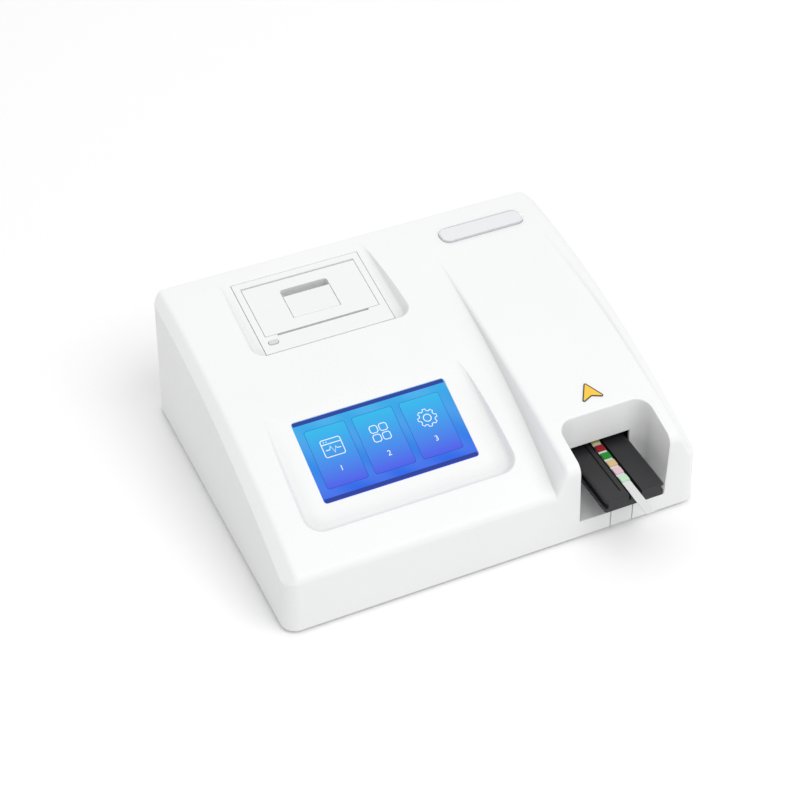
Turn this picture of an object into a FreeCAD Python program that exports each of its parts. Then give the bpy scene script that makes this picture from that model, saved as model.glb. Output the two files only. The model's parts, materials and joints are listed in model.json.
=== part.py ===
import FreeCAD, Part
import math
import os
import Sketcher

# Urine analyzer for the bench: a wedge-shaped white case with a sloping touch screen, a paper
# printer in a recess at the back left, and a raised bay on the right. A tray with a test strip
# comes out of the bay, and a screw drive inside draws it under the optical head.
#
# The object stands with its front towards -Y. X runs to the right seen from the front, Z is up.
# The origin is the centre of the whole footprint, strip tip included, on the resting surface.
# Most positions below are given in the case frame: the middle of the case's width at X zero,
# the case's bottom edge at Z zero, and Y zero where the deck is about 12 mm below its top.

doc = FreeCAD.newDocument("urine_analyzer")
Vector = FreeCAD.Vector
NODES = []

# Driving dimensions, in millimetres, and angles in degrees
DIMENSIONS = {
    # Case, outside
    "case_width": 260.0, "front_reach": 108.0, "back_reach": 110.0, "case_corner": 9.0,
    "plan_over": 3.3, "side_lean": 2.9, "back_lean": 2.0, "wall": 2.5, "over": 1.0,
    "deck_top": 86.7, "deck_radius": 515.0, "ridge_round": 6.0,
    "deck_margin": 8.5, "edge_run": 8.5, "edge_angle": 41.4, "edge_round": 4.5, "edge_inset": 1.4,
    "foot_stand": 2.0, "strip_reach": 30.0,
    # Strip bay: the raised housing on the right
    "bay_margin": 14.5, "bay_wide": 72.7, "bay_drop": 0.9, "bay_end": 10.6,
    "bay_radius": 700.0, "bay_skirt_run": 9.0, "bay_skirt_angle": 65.8, "bay_ridge": 7.0,
    "bay_edge_round": 3.2, "bay_inset": 1.6,
    # Pocket in the bay's front, the tray's slot and the little insert below it
    "pocket_to_left": 27.5, "pocket_to_right": 27.7, "pocket_deep": 30.0, "pocket_floor": 12.0,
    "pocket_corner": 8.0, "pocket_taper": 1.5, "pocket_down": 12.7, "rim_round": 2.6,
    "rim_ahead": 6.0, "rim_tilt": 15.2, "rim_grow": 1.0, "rim_back_in": 0.2,
    "rim_over": 0.6, "lip_down": 40.7,
    "right_angle": 90.0,
    "tray_margin": 36.0, "slot_half": 20.2, "slot_low": 25.6, "slot_high": 40.0,
    "insert_half": 6.9, "insert_gap": 0.5, "insert_depth": 3.6,
    # Screen recess, glass and display
    "screen_margin": 27.7, "screen_to_bay": 22.1, "screen_back": 9.5, "screen_tilt": 22.1,
    "screen_long": 78.2, "screen_corner": 8.0, "screen_floor_round": 5.0, "recess_flare": 29.0,
    "recess_tall": 14.0, "recess_over": 5.0, "recess_rim": 4.5, "pan_tall": 9.0,
    "window_in": 13.85, "window_wide": 53.4, "window_back": 10.2, "window_corner": 2.0,
    "glass_gap": 0.15, "glass_drop": 0.4,
    "module_in": 8.75, "module_wide": 67.2, "module_thick": 4.0,
    "bracket_over": 0.5, "bracket_thick": 1.5, "bracket_hole_long": 60.0,
    "bracket_hole_wide": 30.0, "bracket_boss": 3.0, "bracket_boss_in": 4.0,
    "bracket_boss_step": 44.0,
    # Printer recess and printer
    "printer_aside": 1.1, "printer_margin": 10.4, "printer_tilt": 10.2,
    "printer_recess_half": 47.0, "printer_recess_long": 66.5, "printer_corner": 6.0,
    "printer_floor_round": 3.0,
    "printer_rim": 5.0, "printer_pan_tall": 8.0,
    "panel_long": 82.0, "panel_wide": 58.7, "panel_back": 5.4, "panel_gap": 0.3,
    "panel_thick": 2.8, "flange_half": 51.5, "flange_thick": 2.0, "flange_over": 3.0,
    "bucket_half": 39.0, "bucket_deep": 44.0, "bucket_wall": 2.0, "bucket_front": 62.4,
    "bucket_back": 7.4, "bay_divider": 50.5, "printer_screw_step": 50.0, "screw_ear": 49.2,
    # Printer door, its hinge, grip pocket and release lever
    "door_long": 73.0, "door_front": 50.7, "door_thick": 3.0, "hinge_back": 11.86,
    "hinge_deep": 1.8, "hinge_pin": 0.8, "door_gap": 0.3,
    "grip_long": 30.6, "grip_back": 19.0, "grip_corner": 2.0, "lever_back": 24.5, "lever_front": 42.4,
    "lever_thick": 2.4, "lever_barrel": 1.2, "lever_pin": 0.6, "lever_gap": 0.3,
    "pan_deep": 9.0, "pan_wall": 1.2,
    "slot_paper_long": 58.4, "slot_paper_wide": 1.5,
    "platen_back": 47.4, "platen_deep": 6.3, "platen_radius": 4.0, "platen_long": 56.0,
    "platen_shaft": 1.5, "platen_shaft_long": 70.0, "cheek_out": 34.0, "cheek_thick": 2.0,
    "cheek_deep": 9.6, "cheek_half": 3.0, "shaft_fit": 0.05,
    # Print head, springs, motor and paper in the printer
    "head_gap": 0.3, "head_long": 56.0, "head_thick": 1.6, "head_low": 19.0, "head_top": 3.6,
    "sink_thick": 2.4, "sink_long": 60.0, "spring_radius": 2.0, "spring_wire": 0.35,
    "spring_pitch": 1.4, "spring_out": 20.0, "spring_deep": 10.0,
    "tear_thick": 0.6, "tear_wide": 4.0,
    "roll_radius": 15.0, "roll_wide": 57.0, "roll_core": 6.5, "roll_core_wall": 1.2,
    "roll_gap": 0.4, "roll_back": 29.5, "spindle_radius": 6.2,
    "feed_motor_radius": 4.6, "feed_motor_long": 20.0, "feed_motor_deep": 33.0,
    "feed_motor_out": 14.0, "feed_shaft": 0.8, "feed_shaft_long": 8.0,
    "key_out": 33.6, "key_back": 56.3, "key_long": 6.0, "key_wide": 3.2, "key_corner": 1.55,
    "key_gap": 0.3, "key_stem_deep": 4.0, "key_stand": 0.3, "key_travel": 0.8,
    "driver_long": 60.0, "driver_wide": 34.0, "board_thick": 1.6, "driver_gap": 2.0,
    # Strip tray and test strip
    "tray_wide": 38.0, "tray_top": 35.5, "tray_thick": 9.0, "tray_out": 13.0,
    "tray_long": 120.0, "channel_wide": 8.2, "channel_deep": 4.5,
    "strip_bed_wide": 5.4, "strip_bed_deep": 1.5, "tray_corner": 1.5,
    "side_groove_top": 2.0, "side_groove_tall": 4.0, "side_groove_deep": 2.0,
    "line_groove_out": 7.0, "line_groove_wide": 1.0, "line_groove_deep": 1.0,
    "line_groove_long": 95.0, "line_groove_start": 5.0, "shoulder_wide": 2.0,
    "shoulder_deep": 1.2,
    "strip_wide": 5.4, "strip_long": 105.0, "strip_thick": 0.5, "pad_long": 5.0,
    "pad_pitch": 7.05, "pad_thick": 0.7, "pad_front": 28.2,
    # Drive of the tray
    "carriage_wide": 56.0, "carriage_behind": 5.1, "carriage_long": 60.0,
    "carriage_low": 8.6, "rod_height": 15.5, "rod_radius": 2.5, "rod_out": 22.0,
    "bush_radius": 4.0, "bush_long": 10.0,
    "running_fit": 0.05, "screw_radius": 3.0, "nut_radius": 5.5, "nut_long": 12.0,
    "chassis_half": 31.0, "chassis_low": 5.0, "chassis_thick": 1.5, "upright_top": 25.5,
    "upright_behind": 2.9, "upright_thick": 2.0, "carriage_room": 9.0, "bearing_radius": 5.5,
    "motor_side": 22.0, "motor_long": 26.0, "motor_shaft": 4.2,
    "tray_travel": 72.0, "flag_out": 27.0, "flag_wide": 0.8, "flag_long": 6.0,
    # Optical head over the tray
    "optics_behind": 23.1, "optics_long": 34.0, "optics_half": 19.0, "optics_low": 38.5,
    "optics_tall": 14.0, "optics_wall": 2.0, "lens_radius": 4.5, "lens_thick": 1.6,
    "lamp_radius": 1.5, "lamp_tall": 3.0, "lamp_step": 8.0, "bridge_half": 29.5,
    "bridge_thick": 1.5, "fork_wide": 5.4, "fork_tall": 12.0, "fork_slot": 2.4,
    # Base, feet, screws and boards
    "seat_gap": 0.3, "foot_radius": 7.0, "foot_margin": 24.0, "foot_in": 22.0,
    "foot_stem": 2.6, "foot_cap": 4.0, "foot_cap_thick": 1.2,
    "boss_radius": 4.0, "boss_margin": 12.0, "boss_front_in": 13.0,
    "boss_back_in": 14.0,
    "screw_hole": 1.25, "screw_shank": 1.2, "screw_head": 2.6, "screw_head_thick": 1.3,
    "screw_long": 12.0, "head_clear": 0.3,
    "board_margin": 30.0, "board_long": 88.0, "board_front_in": 28.0, "board_wide": 102.0,
    "board_low": 9.0, "post_radius": 3.0, "board_hole_in": 5.0,
    "small_screw_long": 5.0, "chip_side": 18.0, "chip_thick": 2.0, "plug_long": 22.0,
    "plug_wide": 6.0, "plug_tall": 7.0, "cell_radius": 10.0, "cell_thick": 3.2,
    "plug_in": 24.0, "plug_back": 6.0, "cell_front": 20.0,
    # Back panel and sockets
    "panel_margin": 14.0, "panel_after": 24.0, "panel_low": 9.0, "panel_high": 37.0,
    "panel_sunk": 5.0, "socket_height": 23.0,
    "jack_margin": 30.0, "jack_side": 13.0, "jack_body_long": 12.0, "jack_nose": 5.4,
    "jack_bore": 3.2, "jack_pin": 1.0, "jack_stand": 2.0,
    "switch_step": 24.0, "switch_long": 19.0, "switch_wide": 12.8, "switch_flange": 1.4,
    "switch_flange_over": 1.8, "switch_deep": 12.0, "rocker_long": 15.4, "rocker_wide": 9.4,
    "rocker_tall": 6.0, "rocker_dip": 1.5, "rocker_tilt": 7.0, "rocker_axis": 1.2,
    "rocker_gap": 0.5,
    "usb_step": 28.0, "usb_long": 14.0, "usb_tall": 6.4, "usb_deep": 14.0, "usb_skin": 0.6,
    "usb_tongue": 1.8,
    "serial_step": 36.0, "serial_long": 30.8, "serial_tall": 12.5, "serial_plate": 1.0,
    "serial_shell_long": 17.0, "serial_shell_tall": 8.2, "serial_shell_deep": 5.0,
    "serial_skin": 0.6, "serial_body_deep": 8.0,
    # Blank plates on the bay
    "badge_aside": 2.0, "badge_in": 25.7, "badge_long": 56.0, "badge_wide": 13.4,
    "badge_thick": 1.4, "badge_corner": 5.6, "plate_sunk": 0.6, "plate_gap": 0.1,
    "mark_aside": 0.7, "mark_behind": 12.0, "mark_side": 16.0, "equal_corner": 60.0,
    "mark_thick": 0.4, "mark_notch": 3.4, "mark_round": 1.0, "mark_tilt": 13.67,
    "badge_tilt": 2.86,
}


def number_of(value):
    return value.number if isinstance(value, Size) else float(value)


def formula_of(value):
    return value.formula if isinstance(value, Size) else repr(float(value))


class Size:
    """A length, angle or ratio that carries its number and the sheet formula behind it."""

    def __init__(self, number, formula):
        self.number = number
        self.formula = formula

    def joined(self, other, sign, number):
        return Size(number, f"({self.formula} {sign} {formula_of(other)})")

    def __add__(self, other):
        return self.joined(other, "+", self.number + number_of(other))

    def __sub__(self, other):
        return self.joined(other, "-", self.number - number_of(other))

    def __mul__(self, other):
        return self.joined(other, "*", self.number * number_of(other))

    def __truediv__(self, other):
        return self.joined(other, "/", self.number / number_of(other))

    def __radd__(self, other):
        return self + other

    def __rmul__(self, other):
        return self * other

    def __rsub__(self, other):
        return -self + other

    def __neg__(self):
        return Size(-self.number, f"(0 - {self.formula})")


def root(value):
    return Size(math.sqrt(value.number), f"sqrt({value.formula})")


def sine(angle):
    return Size(math.sin(math.radians(angle.number)), f"sin({angle.formula})")


def cosine(angle):
    return Size(math.cos(math.radians(angle.number)), f"cos({angle.formula})")


class Sheet:
    """The spreadsheet of driving dimensions, each one readable as an attribute."""

    def __init__(self, dimensions):
        cells = doc.addObject("Spreadsheet::Sheet", "Sizes")
        for row, (name, number) in enumerate(dimensions.items(), start=1):
            cells.set(f"A{row}", name)
            cells.set(f"B{row}", str(number))
            cells.setAlias(f"B{row}", name)
            setattr(self, name, Size(number, f"Sizes.{name}"))


S = Sheet(DIMENSIONS)
doc.recompute()

# Places across the case, worked out from its width
CASE_HALF = S.case_width / 2
DECK_HALF = CASE_HALF - S.deck_margin
BAY_RIGHT = CASE_HALF - S.bay_margin
BAY_LEFT = BAY_RIGHT - S.bay_wide
BAY_MIDDLE = BAY_RIGHT - S.tray_margin
POCKET_LEFT = BAY_MIDDLE - S.pocket_to_left
POCKET_RIGHT = BAY_MIDDLE + S.pocket_to_right
BADGE_X = BAY_MIDDLE + S.badge_aside
MARK_X = BAY_MIDDLE - S.mark_aside
SCREEN_HALF = (CASE_HALF - S.screen_margin + BAY_LEFT - S.screen_to_bay) / 2
SCREEN_MIDDLE = (CASE_HALF - S.screen_margin - BAY_LEFT + S.screen_to_bay) / 2
WINDOW_LONG = (SCREEN_HALF - S.window_in) * 2
MODULE_LONG = (SCREEN_HALF - S.module_in) * 2
BRACKET_LONG = (SCREEN_HALF + S.bracket_over) * 2
PRINTER_MIDDLE = SCREEN_MIDDLE - S.printer_aside
FOOT_X = CASE_HALF - S.foot_margin
BOSS_X = CASE_HALF - S.boss_margin
BOARD_LEFT = CASE_HALF - S.board_margin
BOARD_RIGHT = BOARD_LEFT - S.board_long
PANEL_LEFT = CASE_HALF - S.panel_margin
JACK_X = CASE_HALF - S.jack_margin
SWITCH_X = JACK_X - S.switch_step
USB_X = SWITCH_X - S.usb_step
SERIAL_X = USB_X - S.serial_step
PANEL_RIGHT = S.panel_after - SERIAL_X

# Places along the case, worked out from its front and its back
POCKET_BACK = S.front_reach - S.pocket_deep
RIM_Y = POCKET_BACK + S.rim_ahead
MARK_Y = POCKET_BACK - S.mark_behind
TRAY_FRONT = S.front_reach + S.tray_out
FRONT_UPRIGHT = POCKET_BACK - S.upright_behind
CARRIAGE_FRONT = FRONT_UPRIGHT - S.carriage_behind
BACK_UPRIGHT = S.carriage_long - CARRIAGE_FRONT + S.tray_travel + S.carriage_room
OPTICS_FRONT = FRONT_UPRIGHT - S.optics_behind
BOARD_FRONT = S.front_reach - S.board_front_in
BOARD_BACK = S.board_wide - BOARD_FRONT
FOOT_FRONT = S.front_reach - S.foot_in
FOOT_BACK = S.back_reach - S.foot_in
BOSS_FRONT = S.front_reach - S.boss_front_in
BOSS_BACK = S.back_reach - S.boss_back_in
BADGE_Y = S.back_reach - S.badge_in
BAY_APEX = S.back_reach - S.bay_end
PRINTER_BACK = S.back_reach - S.printer_margin
PANEL_FACE = S.back_reach - S.panel_sunk

# Heights worked out from the top of the deck
PLAN_HEIGHT = S.deck_top + S.plan_over
BAY_TOP = S.deck_top - S.bay_drop
POCKET_HEIGHT = S.deck_top - S.pocket_down - S.pocket_floor
LIP_LOW = S.deck_top - S.lip_down

# Shares of the turn at which a rounded edge made of flat facets changes direction
EDGE_SHARES = (1, 2 / 3, 1 / 3, 0)
RIM_SHARES = (0, 1 / 3, 2 / 3, 1)

AXES = {"x": "vector(1; 0; 0)", "y": "vector(0; 1; 0)", "z": "vector(0; 0; 1)"}
QUARTER = 90


def turned(spot, axis="z", angle=0):
    """The formula of a placement at a spot, turned about one axis."""
    x, y, z = [formula_of(value) for value in spot]
    return f"placement(vector({x}; {y}; {z}); rotation({AXES[axis]}; {formula_of(angle)}))"


def root_of_arc(radius, reach):
    """How far an arc of this radius falls below its apex, this far out from it."""
    return radius - root(radius * radius - reach * reach)


def deck_height(y):
    return S.deck_top - root_of_arc(S.deck_radius, S.back_reach - y)


def bay_height(y):
    return BAY_TOP - root_of_arc(S.bay_radius, BAY_APEX - y)


# Seats: the case frame in the object's frame, and the two sloping recess floors in the case
CASE_SHIFT = (S.strip_reach + S.front_reach - S.back_reach) / 2
CASE = turned((0, CASE_SHIFT, S.foot_stand))
SCREEN = CASE + " * " + turned(
    (-SCREEN_MIDDLE, -S.screen_back, deck_height(-S.screen_back)), "x", S.screen_tilt)
PRINTER = CASE + " * " + turned(
    (-PRINTER_MIDDLE, PRINTER_BACK, deck_height(PRINTER_BACK)), "x", S.printer_tilt)


def bind(thing, **sizes):
    for name, value in sizes.items():
        setattr(thing, name, number_of(value))
        thing.setExpression(name, formula_of(value))


def place(thing, seat, spot, axis="z", angle=0):
    thing.setExpression("Placement", f"{seat} * {turned(spot, axis, angle)}")
    return thing


def block(name, low, high, seat=CASE):
    """A box between two corners."""
    box = doc.addObject("Part::Box", name)
    length, width, height = [b - a for a, b in zip(low, high)]
    bind(box, Length=length, Width=width, Height=height)
    return place(box, seat, low)


def rod(name, start, along, radius, length, seat=CASE):
    """A round bar from its start point along X, Y or Z."""
    bar = doc.addObject("Part::Cylinder", name)
    bind(bar, Radius=radius, Height=length)
    axis, angle = {"x": ("y", QUARTER), "y": ("x", -QUARTER), "z": ("z", 0)}[along]
    return place(bar, seat, start, axis, angle)


def fuse(name, pieces):
    joined = doc.addObject("Part::MultiFuse", name)
    joined.Shapes = pieces
    return joined


def cut(name, base, tools):
    result = doc.addObject("Part::Cut", name)
    result.Base = base
    result.Tool = tools[0] if len(tools) == 1 else fuse(name + "_tools", tools)
    return result


def common(name, first, second):
    result = doc.addObject("Part::Common", name)
    result.Base = first
    result.Tool = second
    return result


def group(name, pieces):
    """Separate solids of the same kind in one node."""
    together = doc.addObject("Part::Compound", name)
    together.Links = pieces
    return together


def tube(name, start, along, outer, inner, length, seat=CASE):
    bar = rod(name + "_bar", start, along, outer, length, seat)
    bore = rod(name + "_bore", start, along, inner, length, seat)
    return cut(name, bar, [bore])


def keep(name, piece):
    """Make a finished sub-part a node of the object."""
    piece.Label = name
    NODES.append(piece)
    return piece


def plane_of(body, role):
    return next(item for item in body.Origin.OriginFeatures if item.Role == role)


def new_sketch(body, name, role, height=0):
    sketch = body.newObject("Sketcher::SketchObject", name)
    sketch.AttachmentSupport = (plane_of(body, role), "")
    sketch.MapMode = "FlatFace"
    sketch.setExpression(".AttachmentOffset.Base.z", formula_of(height))
    return sketch


def arc_between(first, last, radius, side):
    """The arc from first to last, its centre on the left of the chord where side is 1."""
    middle = (first + last) / 2
    half = (last - first) / 2
    rise = math.sqrt(max(radius ** 2 - half.Length ** 2, 0))
    left = Vector(-half.y, half.x, 0).normalize()
    centre = middle + left * rise * side
    start, end = (first, last) if side > 0 else (last, first)
    angles = [math.atan2(point.y - centre.y, point.x - centre.x) for point in (start, end)]
    circle = Part.Circle(centre, Vector(0, 0, 1), radius)
    return Part.ArcOfCircle(circle, angles[0], angles[1])


def draw(sketch, points, rounds=None):
    """A closed outline through points; rounds gives (radius, side) of the arcs among its sides."""
    rounds = rounds or {}
    spots = [Vector(number_of(across), number_of(up), 0) for across, up in points]
    count = len(spots)
    first_ends = []
    for index in range(count):
        start, end = spots[index], spots[(index + 1) % count]
        if index in rounds:
            radius, side = rounds[index]
            sketch.addGeometry(arc_between(start, end, number_of(radius), side))
            first_ends.append(1 if side > 0 else 2)
        else:
            sketch.addGeometry(Part.LineSegment(start, end))
            first_ends.append(1)
    for index in range(count):
        after = (index + 1) % count
        last_end = 3 - first_ends[index]
        sketch.addConstraint(
            Sketcher.Constraint("Coincident", index, last_end, after, first_ends[after]))
    for index, (across, up) in enumerate(points):
        for kind, value in (("DistanceX", across), ("DistanceY", up)):
            number = sketch.addConstraint(
                Sketcher.Constraint(kind, -1, 1, index, first_ends[index], number_of(value)))
            sketch.setExpression(f"Constraints[{number}]", formula_of(value))
    for index, (radius, side) in rounds.items():
        number = sketch.addConstraint(Sketcher.Constraint("Radius", index, number_of(radius)))
        sketch.setExpression(f"Constraints[{number}]", formula_of(radius))


def rounded(left, right, front, back, front_corner, back_corner=None):
    """Points and rounds of a rectangle whose corners are quarter arcs."""
    back_corner = back_corner or front_corner
    points = [(left + front_corner, front), (right - front_corner, front),
              (right, front + front_corner), (right, back - back_corner),
              (right - back_corner, back), (left + back_corner, back),
              (left, back - back_corner), (left, front + front_corner)]
    rounds = {1: (front_corner, 1), 3: (back_corner, 1),
              5: (back_corner, 1), 7: (front_corner, 1)}
    return points, rounds


def pad(name, role, outline, length, seat=CASE, spot=(0, 0, 0), taper=None):
    """A body with one pad of a closed outline, drawn on one of its own origin planes."""
    body = doc.addObject("PartDesign::Body", name)
    draw(new_sketch(body, name + "_outline", role), *outline)
    feature = body.newObject("PartDesign::Pad", name + "_pad")
    feature.Profile = body.Group[0]
    bind(feature, Length=length)
    if taper is not None:
        bind(feature, TaperAngle=taper)
    return place(body, seat, spot)


def loft(name, role, outlines, heights, seat=CASE, spot=(0, 0, 0)):
    """A body lofted straight through outlines at several heights over one origin plane."""
    body = doc.addObject("PartDesign::Body", name)
    sketches = []
    for index, (outline, height) in enumerate(zip(outlines, heights)):
        sketch = new_sketch(body, f"{name}_outline_{index}", role, height)
        draw(sketch, *outline)
        sketches.append(sketch)
    feature = body.newObject("PartDesign::AdditiveLoft", name + "_loft")
    feature.Profile = sketches[0]
    feature.Sections = sketches[1:]
    feature.Ruled = True
    return place(body, seat, spot)


def plate(name, low, high, corner, seat=CASE):
    """A flat plate with rounded upright corners, between two corners of its bounding box."""
    outline = rounded(low[0], high[0], low[1], high[1], corner)
    return pad(name, "XY_Plane", outline, high[2] - low[2], seat, (0, 0, low[2]))


def soften(body, radius, wanted):
    """Round the edges of a body's last feature that the test wanted picks out."""
    doc.recompute()
    base = body.Tip
    names = [f"Edge{index}" for index, edge in enumerate(base.Shape.Edges, start=1)
             if wanted(edge)]
    feature = body.newObject("PartDesign::Fillet", body.Name + "_soft")
    feature.Base = (base, names)
    bind(feature, Radius=radius)
    return body


# Case

def arched_profile(top, apex, radius, ridge, front, floor, fall):
    """Side view under an arched top: level at its apex at the back, rounded over at the front."""
    centre_z = top - fall - radius
    ridge_y = front + ridge
    reach = radius - ridge
    ridge_z = centre_z + root(reach * reach - (apex - ridge_y) * (apex - ridge_y))
    scale = radius / reach
    meet_y = apex + (ridge_y - apex) * scale
    meet_z = centre_z + (ridge_z - centre_z) * scale
    points = [(front, floor), (apex, floor), (apex, top - fall), (meet_y, meet_z),
              (front, ridge_z)]
    return points, {2: (radius, 1), 3: (ridge, 1)}


def long_edge(run, angle, radius):
    """The steps in from a long top edge, and the falls there: a sloping side, then a round."""
    slope = sine(angle) / cosine(angle)
    reach = radius * sine(angle / 2) / cosine(angle / 2)
    steps = [(-run, run * slope)]
    for share in EDGE_SHARES:
        turn = angle * share
        steps.append((reach - radius * sine(turn), radius - radius * cosine(turn)))
    return steps


def arched_bar(name, left, right, edge, sizes):
    """A bar along Y with an arched top, lofted across X through its two long edges."""
    top, apex, radius, ridge, front, floor = sizes
    places = [left + step for step, fall in edge] + [right - step for step, fall in edge[::-1]]
    falls = [fall for step, fall in edge + edge[::-1]]
    outlines = [arched_profile(top, apex, radius, ridge, front, floor, fall) for fall in falls]
    return loft(name, "YZ_Plane", outlines, places)


def case_solid(name, inset, floor, edge_inset, bay_inset):
    """The case's outer form, or the space inside it when an inset is given."""
    half = CASE_HALF
    front = -S.front_reach + inset
    deck_half = DECK_HALF - edge_inset
    deck = arched_bar(name + "_deck", -deck_half, deck_half,
                      long_edge(S.edge_run, S.edge_angle, S.edge_round),
                      (S.deck_top - inset, S.back_reach, S.deck_radius - inset,
                       S.ridge_round - inset, front, floor))
    bay = arched_bar(name + "_bay", BAY_LEFT + bay_inset, BAY_RIGHT - bay_inset,
                     long_edge(S.bay_skirt_run, S.bay_skirt_angle, S.bay_edge_round),
                     (BAY_TOP - inset, BAY_APEX, S.bay_radius - inset,
                      S.bay_ridge - inset, front, floor))
    corner = S.case_corner - inset
    plan_outlines = []
    for side_lean, back_lean in ((0, 0), (S.side_lean, S.back_lean)):
        plan_outlines.append(rounded(
            side_lean - half + inset, half - inset - side_lean, front,
            S.back_reach - inset - back_lean, corner))
    plan = loft(name + "_plan", "XY_Plane", plan_outlines, [floor, PLAN_HEIGHT])
    return common(name, fuse(name + "_top", [deck, bay]), plan)


SCREEN_RECESS = (SCREEN_HALF, S.screen_long, S.screen_corner, S.screen_floor_round)
PRINTER_RECESS = (S.printer_recess_half, S.printer_recess_long, S.printer_corner,
                  S.printer_floor_round)


def recess_pan(name, sizes, rim, tall, seat):
    """The pan that carries a recess floor, a rim wider than the recess and as flared."""
    half, long, corner, floor_round = sizes
    outline = rounded(-half - rim, half + rim, -long - rim, S.recess_over + rim, corner)
    return pad(name, "XY_Plane", outline, tall + S.wall, seat, (0, 0, -S.wall),
               taper=S.recess_flare)


def recess_cut(name, sizes, seat):
    """The cut of a recess with flared sides, which meet its floor in a hollow round."""
    half, long, corner, floor_round = sizes
    steep = S.right_angle - S.recess_flare
    reach = floor_round * sine(steep / 2) / cosine(steep / 2)
    steps = []
    for share in RIM_SHARES:
        turn = steep * share
        steps.append((floor_round - floor_round * cosine(turn),
                      floor_round * sine(turn) - reach))
    steps.append((S.recess_tall, S.recess_tall * sine(S.recess_flare) / cosine(S.recess_flare)))
    outlines = [rounded(-half - grow, half + grow, -long - grow, S.recess_over + grow,
                        corner + grow) for height, grow in steps]
    return loft(name, "XY_Plane", outlines, [height for height, grow in steps], seat)


def pocket_outline(grow):
    return rounded(POCKET_LEFT - grow, POCKET_RIGHT + grow,
                   -S.front_reach - S.pocket_corner * 2, -POCKET_BACK + grow,
                   S.pocket_corner / 2, S.pocket_corner)


def pocket_rim(name, turn, next_turn):
    """One facet of the round along the pocket's top rim, a flared cut square to the bay's slope."""
    radius = S.rim_round
    depth = radius - radius * sine(turn)
    grow = S.rim_grow + radius - radius * cosine(turn)
    flare = (turn + next_turn) / 2
    low_y = RIM_Y - S.front_reach - S.pocket_corner * 2
    outline = rounded(POCKET_LEFT - grow, POCKET_RIGHT + grow, low_y,
                      RIM_Y - POCKET_BACK - S.rim_back_in + grow, S.pocket_corner / 2,
                      S.pocket_corner)
    seat = CASE + " * " + turned((0, -RIM_Y, bay_height(-RIM_Y)), "x", S.rim_tilt)
    return pad(name, "XY_Plane", outline, depth + S.rim_over, seat, (0, 0, -depth), taper=flare)


CORNERS = [(-1, -1), (1, -1), (-1, 1), (1, 1)]


def corner_spots(across, front, back):
    """The four corner points at these distances from the case's middle."""
    return [(across * side, -front if end < 0 else back) for side, end in CORNERS]


BOSS_SPOTS = corner_spots(BOSS_X, BOSS_FRONT, BOSS_BACK)
FOOT_SPOTS = corner_spots(FOOT_X, FOOT_FRONT, FOOT_BACK)
BRACKET_SPOTS = [(side * (BRACKET_LONG / 2 - S.bracket_boss_in),
                  -S.window_back - S.window_wide / 2 + end * S.bracket_boss_step / 2)
                 for side, end in CORNERS]
PRINTER_SCREW_SPOTS = [(side * S.screw_ear,
                        -S.panel_back - S.panel_wide / 2 + end * S.printer_screw_step / 2)
                       for side, end in CORNERS]
SOCKET_X = {"jack": -JACK_X, "switch": -SWITCH_X, "usb": -USB_X, "serial": -SERIAL_X}


def top_cover():
    outer = case_solid("cover_outer", 0, 0, 0, 0)
    inner = case_solid("cover_inner", S.wall, -S.over, S.edge_inset, S.bay_inset)
    shell = cut("cover_shell", outer, [inner])
    rims = [
        recess_pan("screen_pan", SCREEN_RECESS, S.recess_rim, S.pan_tall, SCREEN),
        recess_pan("printer_pan", PRINTER_RECESS, S.printer_rim, S.printer_pan_tall, PRINTER),
        pad("pocket_pan", "XY_Plane", pocket_outline(S.wall),
            POCKET_HEIGHT, CASE, (0, 0, S.pocket_floor - S.wall)),
        pad("pocket_lip", "XY_Plane", pocket_outline(S.wall + S.rim_round),
            POCKET_HEIGHT, CASE, (0, 0, LIP_LOW)),
        block("socket_pan", (-PANEL_LEFT - S.wall, PANEL_FACE - S.wall,
                             S.panel_low - S.wall),
              (PANEL_RIGHT + S.wall, S.back_reach, S.panel_high + S.wall)),
    ]
    posts = []
    for index, (x, y) in enumerate(BOSS_SPOTS):
        posts.append(rod(f"cover_post_{index}", (x, y, S.wall + S.seat_gap), "z",
                         S.boss_radius, PLAN_HEIGHT))
    for index, (u, v) in enumerate(BRACKET_SPOTS):
        posts.append(rod(f"screen_post_{index}", (u, v, -S.wall - S.module_thick), "z",
                         S.bracket_boss, S.module_thick + S.wall / 2, SCREEN))
    again = case_solid("cover_limit", 0, 0, 0, 0)
    inside = common("cover_inside", fuse("cover_rims", rims + posts), again)
    solid = fuse("cover_solid", [shell, inside])
    return keep("top_cover", cut("cover_cut", solid, cover_openings()))


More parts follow.
